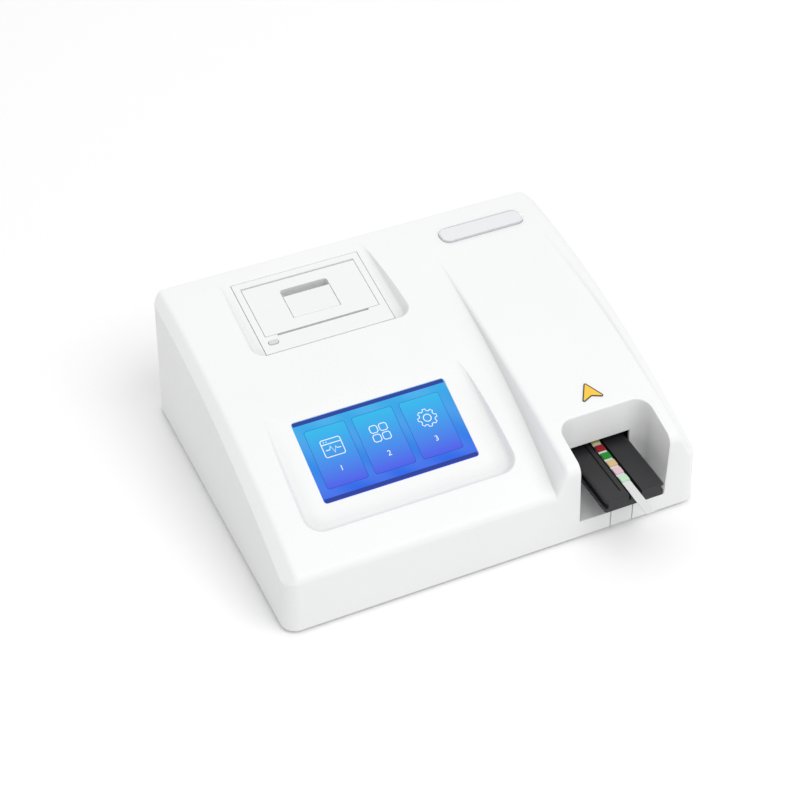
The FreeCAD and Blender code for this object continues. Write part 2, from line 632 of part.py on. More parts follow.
def cover_openings():
    """Everything cut from the cover: recesses, pocket, slot, windows and screw holes."""
    middle = BAY_MIDDLE
    tools = [
        recess_cut("screen_cut", SCREEN_RECESS, SCREEN),
        recess_cut("printer_cut", PRINTER_RECESS, PRINTER),
        pad("pocket_cut", "XY_Plane", pocket_outline(0), POCKET_HEIGHT,
            CASE, (0, 0, S.pocket_floor), taper=S.pocket_taper),
        block("slot_cut", (middle - S.slot_half, -POCKET_BACK - S.over, S.slot_low),
              (middle + S.slot_half, -POCKET_BACK + S.wall + S.over, S.slot_high)),
        block("insert_cut",
              (middle - S.insert_half - S.insert_gap, -S.front_reach - S.over, -S.over),
              (middle + S.insert_half + S.insert_gap,
               -S.front_reach + S.insert_depth + S.seat_gap, S.pocket_floor + S.over)),
        plate("window_cut",
              (-WINDOW_LONG / 2, -S.window_back - S.window_wide, -S.wall - S.over),
              (WINDOW_LONG / 2, -S.window_back, S.over), S.window_corner, SCREEN),
        block("panel_cut",
              (-S.panel_long / 2 - S.panel_gap,
               -S.panel_back - S.panel_wide - S.panel_gap, -S.wall - S.over),
              (S.panel_long / 2 + S.panel_gap, -S.panel_back + S.panel_gap, S.over), PRINTER),
        block("socket_recess", (-PANEL_LEFT, PANEL_FACE, S.panel_low),
              (PANEL_RIGHT, S.back_reach + S.over, S.panel_high)),
    ]
    for index, (x, y) in enumerate(BOSS_SPOTS):
        tools.append(rod(f"post_hole_{index}", (x, y, 0), "z", S.screw_hole,
                         S.screw_head_thick + S.screw_long + S.over))
    for index, (u, v) in enumerate(BRACKET_SPOTS):
        tools.append(rod(f"bracket_hole_{index}", (u, v, -S.wall - S.module_thick - S.over),
                         "z", S.screw_hole, S.module_thick + S.over, SCREEN))
    for index, (u, v) in enumerate(PRINTER_SCREW_SPOTS):
        tools.append(rod(f"ear_hole_{index}", (u, v, -S.wall - S.over), "z", S.screw_hole,
                         S.small_screw_long - S.flange_thick + S.over, PRINTER))
    for index, share in enumerate(RIM_SHARES[:-1]):
        tools.append(pocket_rim(f"rim_cut_{index}", S.right_angle * share,
                                S.right_angle * RIM_SHARES[index + 1]))
    tools.append(badge_solid("badge_seat", S.plate_gap, S.recess_tall))
    tools.append(mark_solid("mark_seat", S.recess_tall))
    return tools + socket_holes()


def socket_holes():
    """Cut-outs in the floor of the back panel for the four sockets."""
    start, end = PANEL_FACE - S.wall - S.over, PANEL_FACE + S.over
    gap = S.seat_gap

    def slot(name, x, long, tall):
        return block(name, (x - long / 2 - gap, start, S.socket_height - tall / 2 - gap),
                     (x + long / 2 + gap, end, S.socket_height + tall / 2 + gap))

    return [
        rod("jack_hole", (SOCKET_X["jack"], start, S.socket_height), "y", S.jack_nose + gap,
            end - start),
        slot("switch_hole", SOCKET_X["switch"], S.switch_long, S.switch_wide),
        slot("usb_hole", SOCKET_X["usb"], S.usb_long, S.usb_tall),
        slot("serial_hole", SOCKET_X["serial"], S.serial_shell_long, S.serial_shell_tall),
    ]


def base_plate():
    half = CASE_HALF - S.wall - S.seat_gap
    front = -S.front_reach + S.wall + S.seat_gap
    notch = S.insert_half + S.insert_gap
    floor = plate("base_floor", (-half, front, 0),
                  (half, S.back_reach - S.wall - S.seat_gap, S.wall),
                  S.case_corner - S.wall)
    posts = [rod(f"board_post_{index}", (x, y, S.wall), "z", S.post_radius,
                 S.board_low - S.wall) for index, (x, y) in enumerate(BOARD_SPOTS)]
    posts += [rod(f"chassis_post_{index}", (x, y, S.wall), "z", S.post_radius,
                  S.chassis_low - S.wall) for index, (x, y) in enumerate(CHASSIS_SPOTS)]
    holes = [block("insert_notch", (BAY_MIDDLE - notch, front, 0),
                   (BAY_MIDDLE + notch, -S.front_reach + S.insert_depth + S.seat_gap,
                    S.wall))]
    for index, (x, y) in enumerate(FOOT_SPOTS):
        holes.append(rod(f"foot_hole_{index}", (x, y, 0), "z", S.foot_stem, S.wall))
    for index, (x, y) in enumerate(BOSS_SPOTS):
        holes.append(rod(f"case_screw_hole_{index}", (x, y, 0), "z", S.screw_hole, S.wall))
        holes.append(rod(f"case_screw_sink_{index}", (x, y, 0), "z",
                         S.screw_head + S.head_clear, S.screw_head_thick))
    for index, (x, y) in enumerate(BOARD_SPOTS + CHASSIS_SPOTS):
        holes.append(rod(f"post_bore_{index}", (x, y, S.over), "z", S.screw_hole,
                         S.board_low))
    return keep("base_plate", cut("base_cut", fuse("base_solid", [floor] + posts), holes))


def rubber_feet():
    feet = []
    for index, (x, y) in enumerate(FOOT_SPOTS):
        pieces = [
            rod(f"foot_pad_{index}", (x, y, -S.foot_stand), "z", S.foot_radius,
                S.foot_stand),
            rod(f"foot_stem_{index}", (x, y, 0), "z", S.foot_stem, S.wall),
            rod(f"foot_cap_{index}", (x, y, S.wall), "z", S.foot_cap, S.foot_cap_thick),
        ]
        feet.append(fuse(f"foot_{index}", pieces))
    return keep("rubber_feet", group("feet", feet))


def screws(name, spots, height, length, seat=CASE, upward=True):
    """A set of screws with round heads, their heads below the given height."""
    pieces = []
    for index, (x, y) in enumerate(spots):
        low = height if upward else height - length
        head_low = height - S.screw_head_thick if upward else height
        shank = rod(f"{name}_shank_{index}", (x, y, low), "z", S.screw_shank, length, seat)
        head = rod(f"{name}_head_{index}", (x, y, head_low), "z", S.screw_head,
                   S.screw_head_thick, seat)
        pieces.append(fuse(f"{name}_{index}", [shank, head]))
    return keep(name, group(name + "_set", pieces))


def front_insert():
    middle = BAY_MIDDLE
    block_low = (middle - S.insert_half, -S.front_reach, 0)
    block_high = (middle + S.insert_half, -S.front_reach + S.insert_depth, S.pocket_floor)
    return keep("front_insert", block("insert_block", block_low, block_high))


def bay_seat(y):
    """The height of the bay's top, or of the deck where that is higher."""
    return deck_height(y) if number_of(deck_height(y)) > number_of(bay_height(y)) \
        else bay_height(y)


def badge_solid(name, grow, top):
    """The blank plate's form over its sloping seat on the bay, with room round it for the seat."""
    long_half, wide_half = S.badge_long / 2 + grow, S.badge_wide / 2 + grow
    seat = CASE + " * " + turned((BADGE_X, BADGE_Y, bay_seat(BADGE_Y)), "x", S.badge_tilt)
    return plate(name, (-long_half, -wide_half, -S.plate_sunk),
                 (long_half, wide_half, top), S.badge_corner, seat)


def mark_solid(name, top):
    """A plain arrow shape on the bay that points the way the tray goes in."""
    side = S.mark_side
    tall = side * sine(S.equal_corner)
    outline = ([(-side / 2, -tall / 3), (0, S.mark_notch - tall / 3),
                (side / 2, -tall / 3), (0, tall * 2 / 3)], {})
    seat = CASE + " * " + turned((MARK_X, -MARK_Y, bay_seat(-MARK_Y)), "x", S.mark_tilt)
    body = pad(name, "XY_Plane", outline, top + S.plate_sunk, seat, (0, 0, -S.plate_sunk))
    return soften(body, S.mark_round, is_upright)


def badge_plate():
    return keep("badge_plate", badge_solid("badge_blank", 0, S.badge_thick))


def marker_plate():
    return keep("marker_plate", mark_solid("mark_blank", S.mark_thick))


def is_upright(edge):
    start, end = edge.Vertexes[0].Point, edge.Vertexes[-1].Point
    return abs(start.x - end.x) + abs(start.y - end.y) < CLOSE < abs(start.z - end.z)


# Screen

def screen_parts():
    half_long, middle_v = WINDOW_LONG / 2, -S.window_back - S.window_wide / 2
    glass_long = half_long - S.glass_gap
    glass_wide = S.window_wide / 2 - S.glass_gap
    keep("touch_panel", plate("glass", (-glass_long, middle_v - glass_wide, -S.wall),
                              (glass_long, middle_v + glass_wide, -S.glass_drop),
                              S.window_corner, SCREEN))
    module_low = -S.wall - S.module_thick
    keep("lcd_module", block("module",
                             (-MODULE_LONG / 2, middle_v - S.module_wide / 2, module_low),
                             (MODULE_LONG / 2, middle_v + S.module_wide / 2, -S.wall),
                             SCREEN))
    plate_half = S.bracket_boss_step / 2 + S.bracket_boss_in
    back = plate("bracket_plate",
                 (-BRACKET_LONG / 2, middle_v - plate_half, module_low - S.bracket_thick),
                 (BRACKET_LONG / 2, middle_v + plate_half, module_low),
                 S.bracket_boss, SCREEN)
    window = block("bracket_window",
                   (-S.bracket_hole_long / 2, middle_v - S.bracket_hole_wide / 2,
                    module_low - S.bracket_thick),
                   (S.bracket_hole_long / 2, middle_v + S.bracket_hole_wide / 2, module_low),
                   SCREEN)
    holes = [rod(f"bracket_bore_{index}", (u, v, module_low - S.bracket_thick), "z",
                 S.screw_hole, S.bracket_thick, SCREEN)
             for index, (u, v) in enumerate(BRACKET_SPOTS)]
    keep("display_bracket", cut("bracket", back, [window] + holes))
    screws("display_screws", BRACKET_SPOTS, module_low - S.bracket_thick,
           S.small_screw_long, SCREEN)


# Printer, in the frame of its sloping recess: U across, V towards the back, W out of the floor

def printer_frame():
    long_half = S.panel_long / 2
    front, back = -S.panel_back - S.panel_wide, -S.panel_back
    gap = S.door_gap
    under = -S.panel_thick
    bucket_low = -S.bucket_deep
    pieces = [
        block("frame_panel", (-long_half, front, under), (long_half, back, 0), PRINTER),
        block("frame_flange", (-S.flange_half, front - S.flange_over, under - S.flange_thick),
              (S.flange_half, back + S.flange_over, under), PRINTER),
        block("frame_bucket", (-S.bucket_half, -S.bucket_front, bucket_low),
              (S.bucket_half, -S.bucket_back, under), PRINTER),
    ]
    inner = S.bucket_half - S.bucket_wall
    bay = block("paper_bay", (-inner, -S.bay_divider, bucket_low + S.bucket_wall),
                (inner, -S.bucket_back - S.bucket_wall, under), PRINTER)
    head_bay = block("head_bay",
                     (-inner, -S.bucket_front + S.bucket_wall, bucket_low + S.bucket_wall),
                     (inner, -S.bay_divider - S.head_gap, under), PRINTER)
    divider_gap = block("divider_gap",
                        (-inner, -S.bay_divider - S.head_gap, -S.head_low - S.over),
                        (inner, -S.bay_divider, under), PRINTER)
    door_hole = block("door_hole",
                      (-S.door_long / 2 - gap, -S.door_front - gap, under - S.flange_thick),
                      (S.door_long / 2 + gap, -S.hinge_back + S.hinge_deep + gap, S.over),
                      PRINTER)
    paper_slot = block("paper_slot",
                       (-S.slot_paper_long / 2, -S.door_front - S.slot_paper_wide,
                        under - S.flange_thick),
                       (S.slot_paper_long / 2, -S.door_front, S.over), PRINTER)
    throat = block("flange_throat", (-inner, -S.bucket_front + S.bucket_wall,
                                     under - S.flange_thick),
                   (inner, -S.door_front - gap, under), PRINTER)
    key_hole = pad("key_hole", "XY_Plane", key_outline(S.key_gap), S.panel_thick + S.over,
                   PRINTER, (-S.key_out, -S.key_back, under))
    pin_hole = rod("hinge_hole", (-S.door_long / 2 - S.bucket_wall, -S.hinge_back,
                                  -S.hinge_deep), "x", S.hinge_pin + S.shaft_fit,
                   S.door_long + S.bucket_wall * 2, PRINTER)
    holes = [bay, head_bay, divider_gap, door_hole, paper_slot, throat, key_hole, pin_hole]
    for index, (u, v) in enumerate(PRINTER_SCREW_SPOTS):
        holes.append(rod(f"ear_bore_{index}", (u, v, under - S.flange_thick), "z",
                         S.screw_hole, S.flange_thick, PRINTER))
    keep("printer_frame", cut("frame", fuse("frame_solid", pieces), holes))
    screws("printer_screws", PRINTER_SCREW_SPOTS, under - S.flange_thick,
           S.small_screw_long, PRINTER)


def key_outline(grow):
    """A long oval round the key's own middle."""
    long_half, wide_half = S.key_long / 2 + grow, S.key_wide / 2 + grow
    return rounded(-long_half, long_half, -wide_half, wide_half, S.key_corner + grow)


def grip_outline(front):
    """The grip's hollow seen from above: its back corners are round, its front is square."""
    half, corner = S.grip_long / 2, S.grip_corner
    back = -S.grip_back
    points = [(-half, front), (half, front), (half, back - corner), (half - corner, back),
              (corner - half, back), (-half, back - corner)]
    return points, {2: (corner, 1), 4: (corner, 1)}


def printer_door():
    half = S.door_long / 2
    under = -S.door_thick
    gap = S.lever_gap
    barrel = rod("door_barrel", (-half, -S.hinge_back, -S.hinge_deep), "x", S.hinge_deep,
                 S.door_long, PRINTER)
    leaf = block("door_leaf", (-half, -S.door_front, under), (half, -S.hinge_back, 0),
                 PRINTER)
    pan_half = S.grip_long / 2 + S.pan_wall
    pan_front = -S.lever_front - gap - S.pan_wall
    pan = block("grip_pan", (-pan_half, pan_front, -S.pan_deep),
                (pan_half, -S.grip_back + S.pan_wall, under), PRINTER)
    cheeks = []
    for side in (-1, 1):
        near = S.cheek_out * side
        far = near - S.cheek_thick * side
        low, high = (near, far) if side < 0 else (far, near)
        cheeks.append(block(f"cheek_{side + 1}",
                            (low, -S.platen_back - S.cheek_half, -S.cheek_deep),
                            (high, -S.platen_back + S.cheek_half, under), PRINTER))
    hollow = pad("grip_hollow", "XY_Plane", grip_outline(-S.lever_front - gap),
                 S.pan_deep - S.pan_wall + S.over, PRINTER, (0, 0, S.pan_wall - S.pan_deep))
    shaft_bore = rod("shaft_bore", (-S.cheek_out, -S.platen_back, -S.platen_deep), "x",
                     S.platen_shaft + S.shaft_fit, S.cheek_out * 2, PRINTER)
    pin_bore = rod("pin_bore", (-half, -S.hinge_back, -S.hinge_deep), "x",
                   S.hinge_pin, S.door_long, PRINTER)
    lever_bore = rod("lever_bore", (-pan_half, -S.lever_front + S.lever_barrel,
                                    -S.lever_barrel), "x", S.lever_pin, pan_half * 2, PRINTER)
    platen_room = rod("platen_room", (-S.platen_long / 2 - gap, -S.platen_back,
                                      -S.platen_deep), "x", S.platen_radius + gap,
                      S.platen_long + gap * 2, PRINTER)
    solid = fuse("door_solid", [barrel, leaf, pan] + cheeks)
    keep("printer_door", cut("door", solid,
                             [hollow, shaft_bore, pin_bore, lever_bore, platen_room]))
    keep("door_hinge_pin", rod("hinge_rod", (-half - S.bucket_wall, -S.hinge_back,
                                             -S.hinge_deep), "x", S.hinge_pin,
                               S.door_long + S.bucket_wall * 2, PRINTER))


def release_lever():
    half = S.grip_long / 2 - S.lever_gap
    axis_v = -S.lever_front + S.lever_barrel
    barrel = rod("lever_eye", (-half, axis_v, -S.lever_barrel), "x", S.lever_barrel,
                 half * 2, PRINTER)
    blade = block("lever_blade", (-half, axis_v, -S.lever_thick),
                  (half, -S.lever_back, 0), PRINTER)
    bore = rod("lever_eye_bore", (-half, axis_v, -S.lever_barrel), "x",
               S.lever_pin + S.shaft_fit, half * 2, PRINTER)
    keep("release_lever", cut("lever", fuse("lever_solid", [barrel, blade]), [bore]))
    pan_half = S.grip_long / 2 + S.pan_wall
    keep("lever_pin", rod("lever_rod", (-pan_half, axis_v, -S.lever_barrel), "x",
                          S.lever_pin, pan_half * 2, PRINTER))


def platen():
    roller = tube("roller", (-S.platen_long / 2, -S.platen_back, -S.platen_deep), "x",
                  S.platen_radius, S.platen_shaft, S.platen_long, PRINTER)
    keep("platen_roller", roller)
    keep("platen_shaft", rod("shaft", (-S.platen_shaft_long / 2, -S.platen_back,
                                       -S.platen_deep), "x", S.platen_shaft,
                             S.platen_shaft_long, PRINTER))


def spring(name, spot, height, seat):
    """A coil spring that stands on a spot and leans along V."""
    coil = doc.addObject("Part::Helix", name + "_path")
    bind(coil, Pitch=S.spring_pitch, Height=height, Radius=S.spring_radius)
    wire = doc.addObject("Part::Circle", name + "_wire")
    bind(wire, Radius=S.spring_wire)
    wire.setExpression("Placement", turned((S.spring_radius, 0, 0), "x", QUARTER))
    swept = doc.addObject("Part::Sweep", name)
    swept.Sections = [wire]
    swept.Spine = (coil, ["Edge1"])
    swept.Solid = True
    swept.Frenet = True
    return place(swept, seat, spot, "x", QUARTER)


def print_head():
    face = -S.platen_back - S.platen_radius - S.head_gap - S.door_gap
    half = S.head_long / 2
    head = block("head_chip", (-half, face - S.head_thick, -S.head_low),
                 (half, face, -S.head_top), PRINTER)
    keep("print_head", head)
    sink_back = face - S.head_thick
    keep("head_heat_sink", block("sink", (-S.sink_long / 2, sink_back - S.sink_thick,
                                          -S.head_low),
                                 (S.sink_long / 2, sink_back, -S.head_top), PRINTER))
    spring_start = sink_back - S.sink_thick - S.spring_wire
    room = S.bucket_front - S.bucket_wall - S.spring_wire + spring_start
    coils = [spring(f"head_spring_{side + 1}",
                    (S.spring_out * side, spring_start, -S.spring_deep), room, PRINTER)
             for side in (-1, 1)]
    keep("head_springs", group("head_spring_pair", coils))
    slot_front = -S.door_front - S.slot_paper_wide
    under = -S.panel_thick
    keep("tear_bar", block("tear_strip",
                           (-half, slot_front - S.tear_wide + S.over,
                            under - S.tear_thick),
                           (half, slot_front, under), PRINTER))


def feed_motor():
    middle_v = -(S.bay_divider + S.head_gap + S.bucket_front - S.bucket_wall) / 2
    start = S.feed_motor_out
    body = rod("feed_can", (start, middle_v, -S.feed_motor_deep), "x", S.feed_motor_radius,
               S.feed_motor_long, PRINTER)
    shaft = rod("feed_shaft", (start - S.feed_shaft_long, middle_v, -S.feed_motor_deep), "x",
                S.feed_shaft, S.feed_shaft_long, PRINTER)
    saddle = block("feed_saddle",
                   (start, middle_v - S.feed_motor_radius, -S.bucket_deep + S.bucket_wall),
                   (start + S.feed_motor_long, middle_v + S.feed_motor_radius,
                    -S.feed_motor_deep), PRINTER)
    keep("feed_motor", fuse("feed_drive", [body, shaft, saddle]))


def paper():
    centre_w = -S.bucket_deep + S.bucket_wall + S.roll_gap + S.roll_radius
    spot = (-S.roll_wide / 2, -S.roll_back, centre_w)
    keep("paper_roll", tube("roll", spot, "x", S.roll_radius,
                            S.roll_core + S.roll_core_wall, S.roll_wide, PRINTER))
    keep("paper_core", tube("core", spot, "x", S.roll_core + S.roll_core_wall, S.roll_core,
                            S.roll_wide, PRINTER))
    inner = S.bucket_half - S.bucket_wall
    keep("roll_spindle", rod("spindle", (-inner, -S.roll_back, centre_w), "x",
                             S.spindle_radius, inner * 2, PRINTER))


def feed_key():
    top = pad("key_top", "XY_Plane", key_outline(0),
              S.panel_thick + S.key_stand, PRINTER, (-S.key_out, -S.key_back, -S.panel_thick))
    stem = rod("key_stem", (-S.key_out, -S.key_back, -S.panel_thick - S.key_stem_deep), "z",
               S.key_wide / 2, S.key_stem_deep, PRINTER)
    keep("feed_key", fuse("key", [top, stem]))
    switch_top = -S.panel_thick - S.key_stem_deep - S.key_travel - S.seat_gap
    keep("key_switch", block("key_switch_body",
                             (-S.key_out - S.key_wide, -S.bucket_front + S.bucket_wall,
                              switch_top - S.key_long),
                             (-S.key_out + S.key_wide, -S.key_back + S.key_wide, switch_top),
                             PRINTER))


def driver_board():
    low = -S.bucket_deep - S.driver_gap - S.board_thick
    board = block("driver_plate", (-S.driver_long / 2, -S.bay_divider, low),
                  (S.driver_long / 2, -S.bay_divider + S.driver_wide, low + S.board_thick),
                  PRINTER)
    posts = []
    for index, side in enumerate((-1, 1)):
        posts.append(rod(f"driver_post_{index}",
                         (side * (S.driver_long / 2 - S.board_hole_in),
                          -S.bay_divider + S.driver_wide / 2, low + S.board_thick), "z",
                         S.bracket_boss, S.driver_gap, PRINTER))
    keep("printer_board", fuse("driver", [board] + posts))


# Strip tray, its carriage and the screw drive

def strip_tray():
    middle = BAY_MIDDLE
    half = S.tray_wide / 2
    front, back = -TRAY_FRONT, S.tray_long - TRAY_FRONT
    top, low = S.tray_top, S.tray_top - S.tray_thick
    body = pad("tray_bar", "XY_Plane",
               rounded(middle - half, middle + half, front, back, S.tray_corner),
               S.tray_thick, CASE, (0, 0, low))
    tools = []
    groove_top = top - S.side_groove_top
    for side in (-1, 1):
        edge = middle + half * side
        inner = edge - S.side_groove_deep * side
        low_x, high_x = (edge, inner) if side < 0 else (inner, edge)
        tools.append(block(f"side_groove_{side + 1}",
                           (low_x, front, groove_top - S.side_groove_tall),
                           (high_x, back, groove_top)))
    tools.append(block("strip_bed", (middle - S.channel_wide / 2, front,
                                     top - S.strip_bed_deep),
                       (middle + S.channel_wide / 2, back - S.line_groove_start, top)))
    for side in (-1, 1):
        edge = middle + S.channel_wide / 2 * side
        inner = middle + S.strip_bed_wide / 2 * side
        low_x, high_x = (edge, inner) if side < 0 else (inner, edge)
        tools.append(block(f"channel_{side + 1}", (low_x, front, top - S.channel_deep),
                           (high_x, back - S.line_groove_start, top)))
    line_x = middle - S.line_groove_out
    tools.append(block("line_groove",
                       (line_x - S.line_groove_wide, front + S.line_groove_start,
                        top - S.line_groove_deep),
                       (line_x, front + S.line_groove_start + S.line_groove_long, top)))
    for side in (-1, 1):
        edge = middle + half * side
        tools.append(shoulder(f"shoulder_{side + 1}", edge, side, front))
    return keep("strip_tray", cut("tray", body, tools))


def shoulder(name, edge, side, front):
    """The wedge cut off one long top edge of the tray."""
    wide, deep, top = S.shoulder_wide * side, S.shoulder_deep, S.tray_top
    points = [(edge - wide, top), (edge, top - deep), (edge, top)]
    if side < 0:
        points.reverse()
    body = doc.addObject("PartDesign::Body", name)
    draw(new_sketch(body, name + "_outline", "XZ_Plane"), points)
    feature = body.newObject("PartDesign::Pad", name + "_pad")
    feature.Profile = body.Group[0]
    bind(feature, Length=S.tray_long + S.over)
    feature.Reversed = True
    return place(body, CASE, (0, front - S.over / 2, 0))


def test_strip():
    middle = BAY_MIDDLE
    bed = S.tray_top - S.strip_bed_deep
    tip = -S.front_reach - S.strip_reach
    keep("test_strip", block("strip_film", (middle - S.strip_wide / 2, tip, bed),
                             (middle + S.strip_wide / 2, tip + S.strip_long,
                              bed + S.strip_thick)))
    pads = []
    for index in range(PAD_COUNT):
        start = tip + S.pad_front + S.pad_pitch * index
        pads.append(block(f"pad_{index}",
                          (middle - S.strip_wide / 2, start, bed + S.strip_thick),
                          (middle + S.strip_wide / 2, start + S.pad_long,
                           bed + S.strip_thick + S.pad_thick)))
    keep("reagent_pads", group("pads", pads))


def carriage():
    middle = BAY_MIDDLE
    half = S.carriage_wide / 2
    front, back = -CARRIAGE_FRONT, S.carriage_long - CARRIAGE_FRONT
    top = S.tray_top - S.tray_thick
    body = plate("carriage_block", (middle - half, front, S.carriage_low),
                 (middle + half, back, top), S.post_radius)
    tools = [rod("nut_room", (middle, front, S.rod_height), "y", S.nut_radius,
                 S.carriage_long)]
    bushes = []
    for side in (-1, 1):
        x = middle + S.rod_out * side
        tools.append(rod(f"bush_room_{side + 1}", (x, front, S.rod_height), "y",
                         S.bush_radius, S.carriage_long))
        for end, start in enumerate((front, back - S.bush_long)):
            bushes.append(tube(f"bush_{side + 1}_{end}", (x, start, S.rod_height), "y",
                               S.bush_radius, S.rod_radius + S.running_fit, S.bush_long))
    keep("tray_carriage", cut("carriage", body, tools))
    keep("carriage_bushes", group("bushes", bushes))
    barrel = rod("nut_barrel", (middle, front, S.rod_height), "y", S.nut_radius,
                 S.nut_long)
    bore = rod("nut_bore", (middle, front, S.rod_height), "y",
               S.screw_radius + S.running_fit, S.nut_long)
    keep("drive_nut", cut("nut", barrel, [bore]))
    flag_x = middle + S.flag_out
    keep("home_flag", block("flag", (flag_x, back, S.carriage_low + S.flag_long),
                            (flag_x + S.flag_wide, back + S.flag_long, top)))


def chassis():
    middle = BAY_MIDDLE
    half = S.chassis_half
    front = -FRONT_UPRIGHT
    back = BACK_UPRIGHT + S.upright_thick
    floor_top = S.chassis_low + S.chassis_thick
    floor = block("chassis_floor", (middle - half, front, S.chassis_low),
                  (middle + half, back, floor_top))
    uprights = [block(f"upright_{index}", (middle - half, start, floor_top),
                      (middle + half, start + S.upright_thick, S.upright_top))
                for index, start in enumerate((front, BACK_UPRIGHT))]
    holes = []
    for index, (x, y) in enumerate(CHASSIS_SPOTS):
        holes.append(rod(f"chassis_bore_{index}", (x, y, S.chassis_low), "z", S.screw_hole,
                         S.chassis_thick))
    length = back - front
    for side in (-1, 1):
        holes.append(rod(f"rod_seat_{side + 1}",
                         (middle + S.rod_out * side, front, S.rod_height), "y",
                         S.rod_radius, length))
    holes.append(rod("bearing_seat", (middle, front, S.rod_height), "y", S.bearing_radius,
                     S.upright_thick))
    holes.append(rod("motor_neck_hole", (middle, BACK_UPRIGHT, S.rod_height), "y",
                     S.motor_shaft + S.head_clear, S.upright_thick))
    keep("drive_chassis", cut("chassis", fuse("chassis_solid", [floor] + uprights), holes))
    rods = [rod(f"guide_{side + 1}", (middle + S.rod_out * side, front, S.rod_height), "y",
                S.rod_radius, length) for side in (-1, 1)]
    keep("guide_rods", group("guides", rods))
    keep("screw_bearing", tube("bearing", (middle, front, S.rod_height), "y",
                               S.bearing_radius, S.screw_radius + S.running_fit,
                               S.upright_thick))
    keep("lead_screw", rod("screw_bar", (middle, front, S.rod_height), "y", S.screw_radius,
                           length + S.motor_long / 2))
    side = S.motor_side / 2
    can = plate_along_y("motor_can", middle, S.rod_height, side, back, S.motor_long)
    neck = rod("motor_bore", (middle, back, S.rod_height), "y",
               S.screw_radius + S.running_fit, S.motor_long / 2 + S.seat_gap)
    keep("tray_motor", cut("motor", can, [neck]))
    screws("chassis_screws", CHASSIS_SPOTS, floor_top, S.small_screw_long, upward=False)


def plate_along_y(name, x, z, half, start, length):
    """A square bar with rounded long edges, along Y from its start."""
    corner = half / 4
    points, rounds = rounded(x - half, x + half, z - half, z + half, corner)
    body = doc.addObject("PartDesign::Body", name)
    draw(new_sketch(body, name + "_outline", "XZ_Plane"), points, rounds)
    feature = body.newObject("PartDesign::Pad", name + "_pad")
    feature.Profile = body.Group[0]
    bind(feature, Length=length)
    feature.Reversed = True
    return place(body, CASE, (0, start, 0))


# Optical head over the tray's path

def optical_head():
    middle = BAY_MIDDLE
    half = S.optics_half
    front, back = -OPTICS_FRONT, S.optics_long - OPTICS_FRONT
    low, top = S.optics_low, S.optics_low + S.optics_tall
    middle_y = (front + back) / 2
    wall = S.optics_wall
    shell = plate("optics_block", (middle - half, front, low), (middle + half, back, top),
                  S.post_radius)
    hollow = block("optics_hollow", (middle - half + wall, front + wall, low + wall),
                   (middle + half - wall, back - wall, top))
    eye = rod("optics_eye", (middle, middle_y, low), "z", S.lens_radius, wall)
    lamp_spots = [(middle + S.lamp_step * side, middle_y + S.lamp_step * end)
                  for side, end in CORNERS]
    lamp_holes = [rod(f"lamp_hole_{index}", (x, y, low), "z", S.lamp_radius, wall)
                  for index, (x, y) in enumerate(lamp_spots)]
    keep("optical_head", cut("optics", shell, [hollow, eye] + lamp_holes))
    keep("optical_lens", rod("lens", (middle, middle_y, low), "z", S.lens_radius,
                             S.lens_thick))
    lamps = [rod(f"lamp_{index}", (x, y, low), "z", S.lamp_radius, S.lamp_tall)
             for index, (x, y) in enumerate(lamp_spots)]
    keep("head_lamps", group("lamps", lamps))
    keep("sensor_board", block("sensor_plate",
                               (middle - half, front, top),
                               (middle + half, back, top + S.board_thick)))
    bridge(middle, front, back, top + S.board_thick)


def bridge(middle, front, back, low):
    """The arched sheet that carries the optical head over the carriage."""
    half = S.bridge_half
    thick = S.bridge_thick
    foot_low = S.chassis_low + S.chassis_thick
    top = block("bridge_top", (middle - half, front, low), (middle + half, back, low + thick))
    pieces = [top]
    for side in (-1, 1):
        edge = middle + half * side
        inner = edge - thick * side
        low_x, high_x = (edge, inner) if side < 0 else (inner, edge)
        pieces.append(block(f"bridge_leg_{side + 1}", (low_x, front, foot_low),
                            (high_x, back, low)))
    keep("head_bridge", fuse("bridge", pieces))


def home_sensor():
    """The forked sensor that the flag enters when the tray is fully in."""
    middle = BAY_MIDDLE
    back = S.carriage_long - CARRIAGE_FRONT + S.tray_travel
    flag_x = middle + S.flag_out + S.flag_wide / 2
    low = S.chassis_low + S.chassis_thick
    fork = block("fork_block", (flag_x - S.fork_wide / 2, back, low),
                 (flag_x + S.fork_wide / 2, back + S.flag_long, low + S.fork_tall))
    slot = block("fork_slot", (flag_x - S.fork_slot / 2, back, low + S.fork_slot),
                 (flag_x + S.fork_slot / 2, back + S.flag_long, low + S.fork_tall))
    keep("home_sensor", cut("fork", fork, [slot]))


# Control board and its parts

